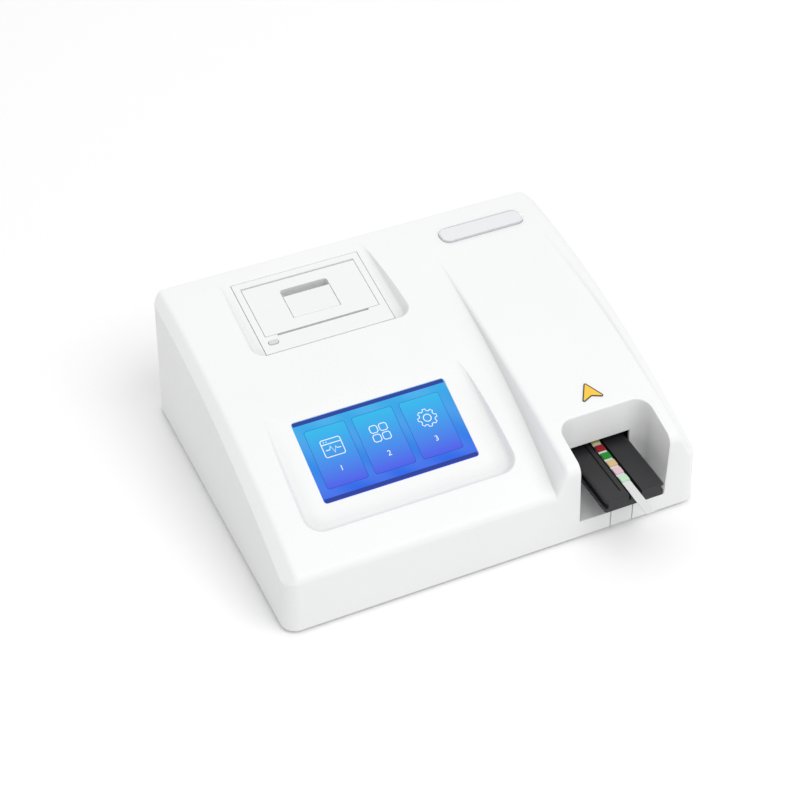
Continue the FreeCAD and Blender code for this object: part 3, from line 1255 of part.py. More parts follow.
def control_board():
    low, top = S.board_low, S.board_low + S.board_thick
    board = block("board_plate", (-BOARD_LEFT, -BOARD_FRONT, low),
                  (-BOARD_RIGHT, BOARD_BACK, top))
    holes = [rod(f"board_bore_{index}", (x, y, low), "z", S.screw_hole, S.board_thick)
             for index, (x, y) in enumerate(BOARD_SPOTS)]
    keep("control_board", cut("board", board, holes))
    screws("board_screws", BOARD_SPOTS, top, S.small_screw_long, upward=False)
    middle_x = -(BOARD_LEFT + BOARD_RIGHT) / 2
    middle_y = (BOARD_BACK - BOARD_FRONT) / 2
    chips = [block("chip_main", (middle_x - S.chip_side / 2, middle_y - S.chip_side / 2, top),
                   (middle_x + S.chip_side / 2, middle_y + S.chip_side / 2,
                    top + S.chip_thick))]
    for side in (-1, 1):
        x = middle_x + S.chip_side * 3 / 2 * side
        chips.append(block(f"chip_{side + 1}", (x - S.chip_side / 3, middle_y, top),
                           (x + S.chip_side / 3, middle_y + S.chip_side, top + S.chip_thick)))
    keep("board_chips", group("chips", chips))
    plugs = []
    plug_end = BOARD_BACK - S.plug_back
    for index, x in enumerate((-BOARD_LEFT + S.plug_in, middle_x,
                               -BOARD_RIGHT - S.plug_in)):
        plugs.append(block(f"plug_{index}",
                           (x - S.plug_long / 2, plug_end - S.plug_wide, top),
                           (x + S.plug_long / 2, plug_end, top + S.plug_tall)))
    keep("board_connectors", group("plugs", plugs))
    keep("clock_cell", rod("cell", (-BOARD_LEFT + S.cell_front, S.cell_front - BOARD_FRONT,
                                    top), "z", S.cell_radius, S.cell_thick))


# Sockets in the back panel

def panel_sockets():
    face = PANEL_FACE
    inside = face - S.wall
    z = S.socket_height
    power_jack(SOCKET_X["jack"], face, inside, z)
    power_switch(SOCKET_X["switch"], face, z)
    usb_socket(SOCKET_X["usb"], face, z)
    serial_socket(SOCKET_X["serial"], inside, z)


def power_jack(x, face, inside, z):
    half = S.jack_side / 2
    body = block("jack_body", (x - half, inside - S.jack_body_long, z - half),
                 (x + half, inside, z + half))
    nose = rod("jack_nose_bar", (x, inside, z), "y", S.jack_nose, S.wall + S.jack_stand)
    length = S.wall + S.jack_stand + S.jack_body_long - S.bucket_wall
    bore = rod("jack_bore_bar", (x, face + S.jack_stand - length, z), "y", S.jack_bore, length)
    shell = cut("jack_shell", fuse("jack_solid", [body, nose]), [bore])
    pin = rod("jack_pin_bar", (x, face + S.jack_stand - length, z), "y", S.jack_pin,
              length - S.jack_stand)
    keep("power_inlet", fuse("jack", [shell, pin]))


def power_switch(x, face, z):
    long_half, wide_half = S.switch_long / 2, S.switch_wide / 2
    over = S.switch_flange_over
    flange = block("switch_rim", (x - long_half - over, face, z - wide_half - over),
                   (x + long_half + over, face + S.switch_flange, z + wide_half + over))
    body = block("switch_body", (x - long_half, face - S.switch_deep, z - wide_half),
                 (x + long_half, face, z + wide_half))
    gap = S.rocker_gap
    room = block("switch_room",
                 (x - S.rocker_long / 2 - gap, face - S.rocker_tall - S.rocker_gap,
                  z - S.rocker_wide / 2 - gap),
                 (x + S.rocker_long / 2 + gap, face + S.switch_flange + S.over,
                  z + S.rocker_wide / 2 + gap))
    holder = cut("switch_shell", fuse("switch_solid", [flange, body]), [room])
    keep("switch_housing", holder)


def rocker():
    """The rocker, a shallow V seen from above, tipped to one side about its upright axis."""
    half = S.rocker_long / 2
    rise, dip = S.rocker_axis + S.rocker_dip, S.rocker_axis
    deep = -S.rocker_tall / 2
    points = [(-half, 0), (-half / 2, deep), (half / 2, deep), (half, 0),
              (half, rise), (0, dip), (-half, rise)]
    keep("power_rocker", pad("rocker_body", "XY_Plane", (points, {}), S.rocker_wide, ROCKER_SEAT,
                             (0, 0, -S.rocker_wide / 2)))


def usb_socket(x, face, z):
    half_long, half_tall = S.usb_long / 2, S.usb_tall / 2
    back = face - S.usb_deep
    shell = block("usb_shell", (x - half_long, back, z - half_tall),
                  (x + half_long, face, z + half_tall))
    skin = S.usb_skin
    hollow = block("usb_hollow", (x - half_long + skin, back + S.bucket_wall,
                                  z - half_tall + skin),
                   (x + half_long - skin, face + S.over, z + half_tall - skin))
    tongue_top = z + half_tall - skin - S.over
    tongue = block("usb_tongue_bar", (x - half_long + skin * 2, back + S.bucket_wall,
                                      tongue_top - S.usb_tongue),
                   (x + half_long - skin * 2, face - S.over, tongue_top))
    keep("usb_socket", fuse("usb", [cut("usb_case", shell, [hollow]), tongue]))


def serial_socket(x, inside, z):
    half_long, half_tall = S.serial_long / 2, S.serial_tall / 2
    shell_long, shell_tall = S.serial_shell_long / 2, S.serial_shell_tall / 2
    end = inside + S.serial_shell_deep
    plate_part = block("serial_flange", (x - half_long, inside - S.serial_plate,
                                         z - half_tall),
                       (x + half_long, inside, z + half_tall))
    body = block("serial_body", (x - shell_long, inside - S.serial_body_deep, z - shell_tall),
                 (x + shell_long, inside, z + shell_tall))
    skin = S.serial_skin
    shell = block("serial_shell", (x - shell_long, inside, z - shell_tall),
                  (x + shell_long, end, z + shell_tall))
    hollow = block("serial_hollow", (x - shell_long + skin, inside, z - shell_tall + skin),
                   (x + shell_long - skin, end, z + shell_tall - skin))
    keep("serial_socket", fuse("serial", [plate_part, body,
                                          cut("serial_case", shell, [hollow])]))


# Places that several sub-parts share
PAD_COUNT = 11
CLOSE = 0.001
BOARD_SPOTS = [(x, y)
               for x in (-BOARD_LEFT + S.board_hole_in, -BOARD_RIGHT - S.board_hole_in)
               for y in (-BOARD_FRONT + S.board_hole_in, BOARD_BACK - S.board_hole_in)]
CHASSIS_SPOTS = [(BAY_MIDDLE + (S.chassis_half - S.post_radius) * side, y)
                 for side in (-1, 1)
                 for y in (-FRONT_UPRIGHT + S.post_radius * 2, BACK_UPRIGHT / 2)]
ROCKER_SEAT = CASE + " * " + turned(
    (-SWITCH_X, PANEL_FACE + S.switch_flange - S.rocker_axis, S.socket_height),
    "z", S.rocker_tilt)

top_cover()
base_plate()
rubber_feet()
screws("case_screws", BOSS_SPOTS, S.screw_head_thick, S.screw_long)
front_insert()
badge_plate()
marker_plate()
screen_parts()
printer_frame()
printer_door()
release_lever()
platen()
print_head()
feed_motor()
paper()
feed_key()
driver_board()
strip_tray()
test_strip()
carriage()
chassis()
optical_head()
home_sensor()
control_board()
panel_sockets()
rocker()

doc.recompute()
failed = [item.Name for item in doc.Objects
          if "Invalid" in item.State or "Error" in item.State]
if failed:
    raise RuntimeError(f"These objects failed: {failed}")
for node in NODES:
    if node.Shape.isNull() or not node.Shape.isValid():
        raise RuntimeError(f"{node.Label} has no valid shape")

os.makedirs("parts", exist_ok=True)
for node in NODES:
    node.Shape.exportStep(f"parts/{node.Label}.step")
    box = node.Shape.BoundBox
    print(f"{node.Label}: {len(node.Shape.Solids)} solids, {node.Shape.Volume:.0f} mm3, "
          f"X {box.XMin:.1f} {box.XMax:.1f}, Y {box.YMin:.1f} {box.YMax:.1f}, "
          f"Z {box.ZMin:.1f} {box.ZMax:.1f}")
whole = Part.makeCompound([node.Shape for node in NODES]).BoundBox
print(f"{len(NODES)} nodes; X {whole.XMin:.2f} {whole.XMax:.2f}, "
      f"Y {whole.YMin:.2f} {whole.YMax:.2f}, Z {whole.ZMin:.2f} {whole.ZMax:.2f}")
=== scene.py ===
# %% [markdown]
# # A urine analyzer for the bench
# The object is a white wedge-shaped case with a lit touch screen, a small paper printer under a
# lid, and a black tray that carries a test strip into a raised bay. Its solids come from a CAD
# frame. This lesson dresses them: it softens the moulded edges, lights the screen, lays out the
# test strip and gives every piece its material.
#
# First the frame is loaded. Its pieces are already in place, in metres, with the front towards -Y.

# %% Load the frame
import json
import math

import bmesh
import bpy
from mathutils import Matrix, Vector


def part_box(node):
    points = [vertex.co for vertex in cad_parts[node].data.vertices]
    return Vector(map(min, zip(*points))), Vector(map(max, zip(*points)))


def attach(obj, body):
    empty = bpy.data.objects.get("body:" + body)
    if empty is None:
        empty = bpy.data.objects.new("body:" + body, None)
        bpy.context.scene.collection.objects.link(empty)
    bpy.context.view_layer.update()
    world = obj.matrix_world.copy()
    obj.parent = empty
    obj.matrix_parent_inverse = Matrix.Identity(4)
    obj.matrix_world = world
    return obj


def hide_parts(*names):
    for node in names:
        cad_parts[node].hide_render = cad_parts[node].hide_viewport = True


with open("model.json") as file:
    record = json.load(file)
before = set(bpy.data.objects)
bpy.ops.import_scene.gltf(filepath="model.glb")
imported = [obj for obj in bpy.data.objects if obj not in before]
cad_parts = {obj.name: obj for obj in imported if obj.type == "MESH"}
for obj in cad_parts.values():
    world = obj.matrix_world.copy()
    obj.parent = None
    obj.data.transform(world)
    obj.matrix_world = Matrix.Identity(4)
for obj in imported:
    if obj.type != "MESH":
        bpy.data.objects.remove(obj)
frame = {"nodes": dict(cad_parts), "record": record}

MM = 0.001
scene = bpy.context.scene
nodes = frame["nodes"]
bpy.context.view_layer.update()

# %% [markdown]
# The camera comes next, because every later choice is judged through it. It looks down at the
# front left corner from about 41 degrees above the bench. A long lens keeps the sides of the case
# nearly parallel, as in a catalogue picture.

# %% Camera
CAMERA_AZIMUTH = math.radians(23.45)
CAMERA_HEIGHT = math.radians(40.66)
CAMERA_ROLL = math.radians(-1.15)
CAMERA_DISTANCE = 1.19758
CAMERA_LENS = 88.57
CAMERA_REACH = 20
AIM = Vector((0.0, 0.014, 0.002))
ASIDE, ABOVE = -0.011882, 0.029888

behind = Vector((-math.sin(CAMERA_AZIMUTH) * math.cos(CAMERA_HEIGHT),
                 -math.cos(CAMERA_AZIMUTH) * math.cos(CAMERA_HEIGHT),
                 math.sin(CAMERA_HEIGHT)))
level_right = Vector((0, 0, 1)).cross(behind).normalized()
level_up = behind.cross(level_right)
rolled_right = level_right * math.cos(CAMERA_ROLL) + level_up * math.sin(CAMERA_ROLL)
rolled_up = level_up * math.cos(CAMERA_ROLL) - level_right * math.sin(CAMERA_ROLL)
camera = bpy.data.objects.new("camera", bpy.data.cameras.new("camera"))
scene.collection.objects.link(camera)
camera.matrix_world = Matrix.Translation(
    AIM + behind * CAMERA_DISTANCE + rolled_right * ASIDE + rolled_up * ABOVE
) @ Matrix((rolled_right, rolled_up, behind)).transposed().to_4x4()
camera.data.lens = CAMERA_LENS
camera.data.clip_end = CAMERA_REACH
scene.camera = camera
print("camera at", [round(value, 3) for value in camera.matrix_world.translation])

# %% [markdown]
# Materials and the world's light are small graphs of nodes. One helper adds a node, changes its
# settings, and fills its inputs with plain values or with links from other nodes. Another blends
# two colours, which most of the materials do somewhere.

# %% Helpers for shader nodes
WHITE = (1, 1, 1, 1)


def add_node(tree, kind, inputs=None, **settings):
    """Add a shader node. Each input is a plain value or the output of another node."""
    node = tree.nodes.new("ShaderNode" + kind)
    for name, value in settings.items():
        setattr(node, name, value)
    for name, value in (inputs or {}).items():
        if isinstance(value, bpy.types.NodeSocket):
            tree.links.new(value, node.inputs[name])
        else:
            node.inputs[name].default_value = value
    return node


def add_blend(tree, share, first, second, **settings):
    """Blend two colours by a share, and give back the colour that comes out."""
    inputs = {"Factor": share, "A": first, "B": second}
    return add_node(tree, "Mix", inputs, data_type="RGBA", **settings).outputs["Result"]


def feed(look, socket, output):
    """Let an output drive one socket of the material's Principled shader."""
    shader = look.node_tree.nodes["Principled BSDF"]
    look.node_tree.links.new(output, shader.inputs[socket])


# %% [markdown]
# A white object on white needs gentle light, or its forms vanish. One large soft lamp above the
# front and a little to the right leaves the left wall in half shade, and an even world fills the
# rest. Camera, glossy and transmission rays see a white world, so the background stays white while
# the world's light on the object stays plain.

# %% Light, world and floor
WORLD_STRENGTH = 0.70
FLOOR_SIZE = 8
# Each lamp has a name, a place, the length of its side in metres and its power in watts.
LAMPS = [
    ("key_lamp", (0.46, -1.05, 1.85), 1.4, 18.2),
    ("back_lamp", (0.2, 1.6, 1.5), 1.2, 4.0),
]


def direct_rays(tree):
    """1 for camera, glossy and transmission rays, 0 for the light on the object."""
    path = add_node(tree, "LightPath")
    total = path.outputs["Is Camera Ray"]
    for kind in ("Is Glossy Ray", "Is Transmission Ray"):
        most = add_node(tree, "Math", {0: total, 1: path.outputs[kind]}, operation="MAXIMUM")
        total = most.outputs[0]
    return total


def world_look():
    """A white world for the eye, and a plain level of light for the object."""
    world = bpy.data.worlds.new("studio")
    world.use_nodes = True
    tree = world.node_tree
    tree.nodes.clear()
    seen = add_node(tree, "Background", {"Color": WHITE})
    lit = add_node(tree, "Background", {"Color": WHITE, "Strength": WORLD_STRENGTH})
    mix = add_node(tree, "MixShader", {"Fac": direct_rays(tree), 1: lit.outputs[0],
                                       2: seen.outputs[0]})
    add_node(tree, "OutputWorld", {"Surface": mix.outputs[0]})
    return world


scene.world = world_look()
scene.view_settings.view_transform = "Standard"
for name, spot, size, power in LAMPS:
    lamp = bpy.data.objects.new(name, bpy.data.lights.new(name, "AREA"))
    lamp.data.size = size
    lamp.data.energy = power
    lamp.location = spot
    lamp.rotation_euler = (-Vector(spot)).to_track_quat("-Z", "Y").to_euler()
    scene.collection.objects.link(lamp)

floor_mesh = bmesh.new()
bmesh.ops.create_grid(floor_mesh, x_segments=1, y_segments=1, size=FLOOR_SIZE)
floor = bpy.data.objects.new("floor", bpy.data.meshes.new("floor"))
floor_mesh.to_mesh(floor.data)
floor_mesh.free()
scene.collection.objects.link(floor)
print("lamps:", [name for name, *rest in LAMPS])

# %% [markdown]
# Nearly every finish here is a Principled shader with a little noise in it. A broad and a fine
# noise on Object coordinates together move the colour by a few percent. The fine one also varies
# the roughness and gives a bump, the way a spark-eroded mould leaves a grain in plastic. The white
# cover gets painted shade in its hollows: an Ambient Occlusion node that looks at the piece alone
# finds these places and darkens the colour there. One helper builds every finish, and values that
# are the same all over a surface are set straight on the shader.

# %% Helper for finishes
CLOUD_SCALE, GRAIN_DETAIL, GRAIN_SHARE = 14, 3, 0.6
GRAIN_DEEP = 0.1 * MM
ROUGH_SWING, ROUGH_LEAST = 0.06, 0.02
PAINTED_SHADE_REACH = 12 * MM
PAINTED_SHADE_SAMPLES = 16


def finish(name, colour, roughness, grain=900, bump=0.08, spread=0.03, stretch=(1, 1, 1),
           painted_shade=0.0, **fixed):
    """A material with grain of a given fineness per metre, and constants for its sockets."""
    look = bpy.data.materials.new(name)
    look.use_nodes = True
    tree = look.node_tree
    place = add_node(tree, "TexCoord").outputs["Object"]
    spot = add_node(tree, "Mapping", {"Vector": place, "Scale": stretch}).outputs["Vector"]
    fine = add_node(tree, "TexNoise", {"Vector": spot, "Scale": grain, "Detail": GRAIN_DETAIL})
    broad = add_node(tree, "TexNoise", {"Vector": spot, "Scale": CLOUD_SCALE})
    grains = fine.outputs["Fac"]
    speck = add_node(tree, "Mix", {"Factor": GRAIN_SHARE, "A": broad.outputs["Fac"], "B": grains})
    darker = (*[value * (1 - spread) for value in colour], 1)
    lighter = (*[min(value * (1 + spread), 1) for value in colour], 1)
    tint = add_blend(tree, speck.outputs["Result"], darker, lighter)
    # Painted shade: an Ambient Occlusion node that sees only this piece darkens the colour in its
    # hollows.
    if painted_shade:
        shade = add_node(tree, "AmbientOcclusion", {"Color": tint, "Distance": PAINTED_SHADE_REACH},
                         samples=PAINTED_SHADE_SAMPLES, only_local=True)
        tint = add_blend(tree, painted_shade, tint, shade.outputs["Color"])
    rough = add_node(tree, "MapRange", {
        "Value": grains, "To Min": max(roughness - ROUGH_SWING, ROUGH_LEAST),
        "To Max": min(roughness + ROUGH_SWING, 1)})
    height = add_node(tree, "Bump", {"Strength": bump, "Distance": GRAIN_DEEP, "Height": grains})
    feed(look, "Base Color", tint)
    feed(look, "Roughness", rough.outputs["Result"])
    feed(look, "Normal", height.outputs["Normal"])
    shader = tree.nodes["Principled BSDF"]
    for socket, value in fixed.items():
        shader.inputs[socket.replace("_", " ")].default_value = value
    return look


def metal(name, colour, roughness, stretch=(1, 1, 1), **fixed):
    """A bare metal, its grain drawn out where its scale along an axis is small."""
    return finish(name, colour, roughness, 1400, 0.05, 0.05, stretch, Metallic=1.0, **fixed)


# %% [markdown]
# These are the finishes of the material slots. Each line gives the colour, the roughness, how fine
# the grain is, how strong its bump is and how far it moves the colour. Rods and brass parts have
# their grain drawn out along Y, the way turned and ground metal looks.

# %% Finishes
LOOKS = {
    # The white case gets painted shade, a darker colour in its hollows.
    "case_white": finish("case_white", (0.875, 0.878, 0.882), 0.46, 1500, 0.35, 0.05,
                         painted_shade=0.7),
    "base_grey": finish("base_grey", (0.84, 0.845, 0.85), 0.5, 1500, 0.30, 0.04),
    "rubber_black": finish("rubber_black", (0.018, 0.018, 0.019), 0.78, 900, 0.2, 0.2),
    "steel": metal("steel", (0.58, 0.59, 0.61), 0.3, (1, 0.04, 1)),
    "badge_silver": finish("badge_silver", (0.62, 0.63, 0.65), 0.24, 1600, 0.04, 0.02,
                           Metallic=0.8),
    "mark_amber": finish("mark_amber", (0.92, 0.56, 0.05), 0.36, 900, 0.04),
    "screen_glass": finish("screen_glass", (0.02, 0.09, 0.30), 0.08, 300, 0.0),
    "panel_white": finish("panel_white", (0.85, 0.853, 0.858), 0.48, 1500, 0.30, 0.04),
    "lever_white": finish("lever_white", (0.84, 0.843, 0.848), 0.46, 1500, 0.25, 0.04),
    "card_brown": finish("card_brown", (0.34, 0.22, 0.12), 0.82, 900, 0.3, 0.12),
    "module_metal": metal("module_metal", (0.55, 0.56, 0.57), 0.38),
    "head_ceramic": finish("head_ceramic", (0.62, 0.60, 0.54), 0.34, 900, 0.06, 0.04),
    "inner_black": finish("inner_black", (0.02, 0.02, 0.022), 0.5, 1200, 0.14, 0.15),
    "key_grey": finish("key_grey", (0.66, 0.665, 0.67), 0.42, 1200, 0.08),
    "tray_black": finish("tray_black", (0.016, 0.016, 0.018), 0.46, 1500, 0.14, 0.10,
                         Specular_IOR_Level=0.4),
    "strip_white": finish("strip_white", (0.69, 0.695, 0.70), 0.34, 900, 0.20, 0.12),
    "brass": metal("brass", (0.60, 0.42, 0.17), 0.28, (1, 0.1, 1)),
    "socket_black": finish("socket_black", (0.015, 0.015, 0.016), 0.42, 1200, 0.12, 0.15),
    "socket_metal": metal("socket_metal", (0.66, 0.67, 0.69), 0.2),
    "lens_clear": finish("lens_clear", (0.82, 0.88, 0.94), 0.08, 300, 0.0,
                         Transmission_Weight=0.85, IOR=1.49),
}
print("finishes:", len(LOOKS))

# %% [markdown]
# A circuit board is green because of the solder mask over its copper. The copper shows through
# as paler lines. A brick pattern gives long straight runs with gaps, which reads as tracks at
# this size without drawing each one.

# %% Circuit board finish
TRACK_SCALE, TRACK_WIDE = 260, 0.02


def board_look():
    look = finish("board_green", (0.012, 0.16, 0.06), 0.34, 700, 0.08)
    tree = look.node_tree
    mapping = next(node for node in tree.nodes if node.type == "MAPPING")
    tracks = add_node(tree, "TexBrick", {
        "Vector": mapping.outputs["Vector"], "Scale": TRACK_SCALE, "Mortar Size": TRACK_WIDE,
        "Color1": (0.010, 0.15, 0.055, 1), "Color2": (0.014, 0.17, 0.065, 1),
        "Mortar": (0.05, 0.30, 0.12, 1)})
    feed(look, "Base Color", tracks.outputs["Color"])
    return look


LOOKS["board_green"] = board_look()
print("circuit board finish made")

# %% [markdown]
# A fresh paper roll shows its many turns on its ends. Modelling each turn would cost thousands of
# faces, so rings on Object coordinates, centred on the roll by a Mapping node, draw them.

# %% Paper roll finish
TURNS_SCALE, TURNS_UNEVEN = 700, 0.6


def roll_look():
    low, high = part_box("paper_roll")
    look = finish("paper_turns", (0.86, 0.86, 0.84), 0.66, 2200, 0.10, 0.02)
    tree = look.node_tree
    place = add_node(tree, "TexCoord").outputs["Object"]
    centre = add_node(tree, "Mapping", {
        "Vector": place, "Location": (Vector(low) + Vector(high)) / 2}, vector_type="TEXTURE")
    turns = add_node(tree, "TexWave", {
        "Vector": centre.outputs["Vector"], "Scale": TURNS_SCALE, "Distortion": TURNS_UNEVEN},
        wave_type="RINGS", rings_direction="X")
    shade = add_blend(tree, turns.outputs["Fac"], (0.62, 0.62, 0.60, 1), (0.87, 0.87, 0.85, 1))
    feed(look, "Base Color", shade)
    return look


LOOKS["paper_white"] = roll_look()
print("paper roll finish made")

# %% [markdown]
# The floor is plain and pale. For camera, glossy and transmission rays its colour goes up to
# white, so the page around the object is white while the light that the floor throws back stays
# ordinary. Its shadow stays too, because only the colour changes.

# %% Floor finish
FLOOR_WHITE = (0.86, 0.86, 0.86)


def floor_look():
    look = finish("floor_white", FLOOR_WHITE, 0.8, 200, 0.0, 0.002)
    tree = look.node_tree
    feed(look, "Base Color", add_blend(tree, direct_rays(tree), (*FLOOR_WHITE, 1), WHITE))
    return look


floor.data.materials.append(floor_look())
print("floor dressed")

# %% [markdown]
# The frame's pieces carry their material slot in the record. Each one now gets the finish of that
# slot. Pieces that are remade below hide the frame's own.

# %% Dress the frame's pieces
slot_of = {part["node"]: part["material_slot"] for part in frame["record"]["subparts"]}
body_of = {node: body for body, group in frame["record"]["behaviour"]["bodies"].items()
           for node in group}
for name, thing in nodes.items():
    look = LOOKS.get(slot_of[name], LOOKS["strip_white"])
    for material_slot in thing.material_slots:
        material_slot.material = look
print("dressed:", len(nodes))

# %% [markdown]
# Moulded plastic has no sharp edges. The frame's mesh is welded in a copy, the triangles of flat
# areas are joined in pairs, and every edge that turns by more than 33 degrees is bevelled. Edges
# that turn less belong to curved surfaces, and shading alone rounds them. The normals that came
# with the mesh fit its old faces, so they go, and a Weighted Normal modifier then keeps the flat
# faces flat.

# %% Helper for softened copies
SHARP = math.radians(33)
NEARLY_FLAT = math.radians(0.5)
FLAT = math.radians(0.2)
WELD_GAP = 0.002 * MM
BEVEL_STEPS = 2


def shown(name, made, looks, body, replaced=()):
    """Turn a bmesh into a piece of the object, with its materials and body, hiding the nodes it
    replaces.
    """
    mesh = bpy.data.meshes.new(name)
    made.to_mesh(mesh)
    made.free()
    thing = bpy.data.objects.new(name, mesh)
    scene.collection.objects.link(thing)
    for look in looks:
        mesh.materials.append(look)
    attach(thing, body)
    if replaced:
        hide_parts(*replaced)
    return thing


def even_shading(thing):
    """Smooth shading that keeps flat faces flat and real corners sharp."""
    mesh = thing.data
    if "custom_normal" in mesh.attributes:
        mesh.attributes.remove(mesh.attributes["custom_normal"])
    for face in mesh.polygons:
        face.use_smooth = True
    mesh.set_sharp_from_angle(angle=SHARP)
    weigh = thing.modifiers.new("even", "WEIGHTED_NORMAL")
    weigh.keep_sharp = True
    return thing


def welded(node):
    """The node's mesh as a bmesh, its doubles merged and its flat triangles joined in pairs."""
    made = bmesh.new()
    made.from_mesh(nodes[node].data)
    bmesh.ops.remove_doubles(made, verts=made.verts, dist=WELD_GAP)
    bmesh.ops.join_triangles(made, faces=made.faces, angle_face_threshold=FLAT,
                             angle_shape_threshold=math.pi)
    return made


def whole_faces(made):
    """Join what belongs to one flat area into one face. It suits only pieces without holes."""
    bmesh.ops.dissolve_limit(made, angle_limit=NEARLY_FLAT, verts=made.verts, edges=made.edges)
    return made


def soften_edges(made, radius, wanted=None):
    """Bevel the sharp edges, or only those that wanted(edge) picks out."""
    edges = [edge for edge in made.edges
             if len(edge.link_faces) == 2 and edge.calc_face_angle(0) > SHARP
             and (wanted is None or wanted(edge))]
    bmesh.ops.bevel(made, geom=edges, offset=radius, offset_type="OFFSET",
                    segments=BEVEL_STEPS, profile=0.5, affect="EDGES", material=-1,
                    clamp_overlap=False)
    return made


def softened(node, radius, wanted=None):
    """A softened copy of a node that stands for it."""
    made = soften_edges(welded(node), radius, wanted)
    slot = slot_of[node]
    thing = shown(node + "_soft", made, [LOOKS[slot]], body_of[node], [node])
    return even_shading(thing)


# %% [markdown]
# The cover is the largest moulding. Its outer edges are round already in the solid, so the bevel
# only takes the sharpness off its corners and openings. The two shallow seats under the blank
# plate and the arrow are left out, because a bevel there would be as wide as they are deep. So are
# single edges far shorter than the bevel, which would make it fold over itself.

# %% Soften the cover
COVER_SOFT, SEAT_MARGIN, TOO_SHORT = 0.4 * MM, 0.8 * MM, 0.02 * MM
SEATS = [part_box("badge_plate"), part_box("marker_plate")]


def bevels_well(edge):
    """True for an edge that is long enough and isn't part of the seat of a plate."""
    for low, high in SEATS:
        if all(low[axis] - SEAT_MARGIN < end.co[axis] < high[axis] + SEAT_MARGIN
               for end in edge.verts for axis in (0, 1)):
            return False
    return edge.calc_length() > TOO_SHORT


cover = softened("top_cover", COVER_SOFT, wanted=bevels_well)
print("cover:", len(cover.data.polygons), "faces")

# %% [markdown]
# The smaller mouldings, the bent sheets and the boards get the same treatment, each with a radius
# that suits how it is made: generous on rubber and moulded plastic, slight on sheet and boards.

# %% Soften the other pieces
SOFT_RADII = {
    "base_plate": 0.4, "front_insert": 0.4, "rubber_feet": 0.6,
    "printer_frame": 0.15, "printer_door": 0.15, "release_lever": 0.3, "feed_key": 0.12,
    "strip_tray": 0.35, "test_strip": 0.1, "tray_carriage": 0.5, "optical_head": 0.4,
    "switch_housing": 0.4, "power_rocker": 0.4, "usb_socket": 0.12, "power_inlet": 0.35,
    "serial_socket": 0.2, "key_switch": 0.3, "board_connectors": 0.3, "board_chips": 0.2,
    "clock_cell": 0.3, "platen_roller": 0.4, "head_heat_sink": 0.15, "tray_motor": 0.4,
    "feed_motor": 0.3, "display_bracket": 0.2, "head_bridge": 0.2, "drive_chassis": 0.2,
    "home_sensor": 0.2, "lcd_module": 0.3, "control_board": 0.15, "printer_board": 0.15,
    "sensor_board": 0.15,
}
soft = {node: softened(node, radius * MM) for node, radius in SOFT_RADII.items()}
print("softened:", len(soft))

# %% [markdown]
# A machine screw's head has rounded shoulders and a cross for the driver. The cross is cut in the
# head's own face: two sets of four bisect planes divide it, and the cells that make up the cross
# are inset with a depth, which gives the cross sides with a little draft. The screws stand along
# their seats, so each set names its tilt and the side that its heads face.

# %% Screws with crossed heads
SCREW_SETS = {
    "case_screws": (0, -1), "display_screws": (22.1, -1), "printer_screws": (10.2, -1),
    "chassis_screws": (0, 1), "board_screws": (0, 1),
}
HEAD_ROUND = 0.175 * MM
HEAD_AREA = 10 * MM * MM
CROSS_ARM, CROSS_HALF = 1.5 * MM, 0.36 * MM
CROSS_DEEP, CROSS_DRAFT = 0.8 * MM, 0.08 * MM
ON_PLANE = 1e-7
FACING = 0.99


def cut_cross(made, top, across, along):
    """Push a cross into a flat round face, its arms along two directions."""
    middle = top.calc_center_median()
    cells = [top]
    for axis in (across, along):
        for step in (-CROSS_ARM, -CROSS_HALF, CROSS_HALF, CROSS_ARM):
            parts = set(cells)
            for face in cells:
                parts.update(face.edges)
                parts.update(face.verts)
            done = bmesh.ops.bisect_plane(made, geom=list(parts), dist=ON_PLANE,
                                          plane_co=middle + axis * step, plane_no=axis)
            cells = [item for item in done["geom"] if isinstance(item, bmesh.types.BMFace)]
    cross = []
    for face in cells:
        offset = face.calc_center_median() - middle
        short, long = sorted((abs(offset.dot(across)), abs(offset.dot(along))))
        if short < CROSS_HALF and long < CROSS_ARM:
            cross.append(face)
    bmesh.ops.inset_region(made, faces=cross, thickness=CROSS_DRAFT, depth=-CROSS_DEEP,
                           use_even_offset=True)


def crossed_screws(node, tilt, side):
    """A copy of a set of screws with rounded and crossed heads."""
    made = whole_faces(soften_edges(welded(node), HEAD_ROUND))
    turn = Matrix.Rotation(math.radians(tilt), 3, "X")
    across, along, outward = [turn @ Vector(axis) for axis in ((1, 0, 0), (0, 1, 0), (0, 0, side))]
    tops = [face for face in made.faces
            if face.normal.dot(outward) > FACING and face.calc_area() > HEAD_AREA]
    for top in tops:
        cut_cross(made, top, across, along)
    thing = shown(node + "_crossed", made, [LOOKS["steel"]], body_of[node], [node])
    print(node, len(tops), "heads,", len(thing.data.polygons), "faces")
    return even_shading(thing)


for node, (tilt, side) in SCREW_SETS.items():
    crossed_screws(node, tilt, side)

# %% [markdown]
# Small flat forms are all made one way: a square is scaled, its corners are rounded by a vertex
# bevel, and it is extruded to its thickness. Each is then set on its seat by one matrix, which
# carries both the place and the tilt. The screen's seat slopes up by 22.1 degrees.

# %% Helper for plates and seats
CORNER_STEPS = 5


def seat_at(spot, tilt):
    """A place with its slope, for pieces that lie on a tilted floor."""
    return Matrix.Translation(spot) @ Matrix.Rotation(tilt, 4, "X")


def joined(part, made, index=0):
    """Add one bmesh to another, its faces given one material index."""
    for face in part.faces:
        face.material_index = index
    mesh = bpy.data.meshes.new("part")
    part.to_mesh(mesh)
    part.free()
    made.from_mesh(mesh)
    bpy.data.meshes.remove(mesh)


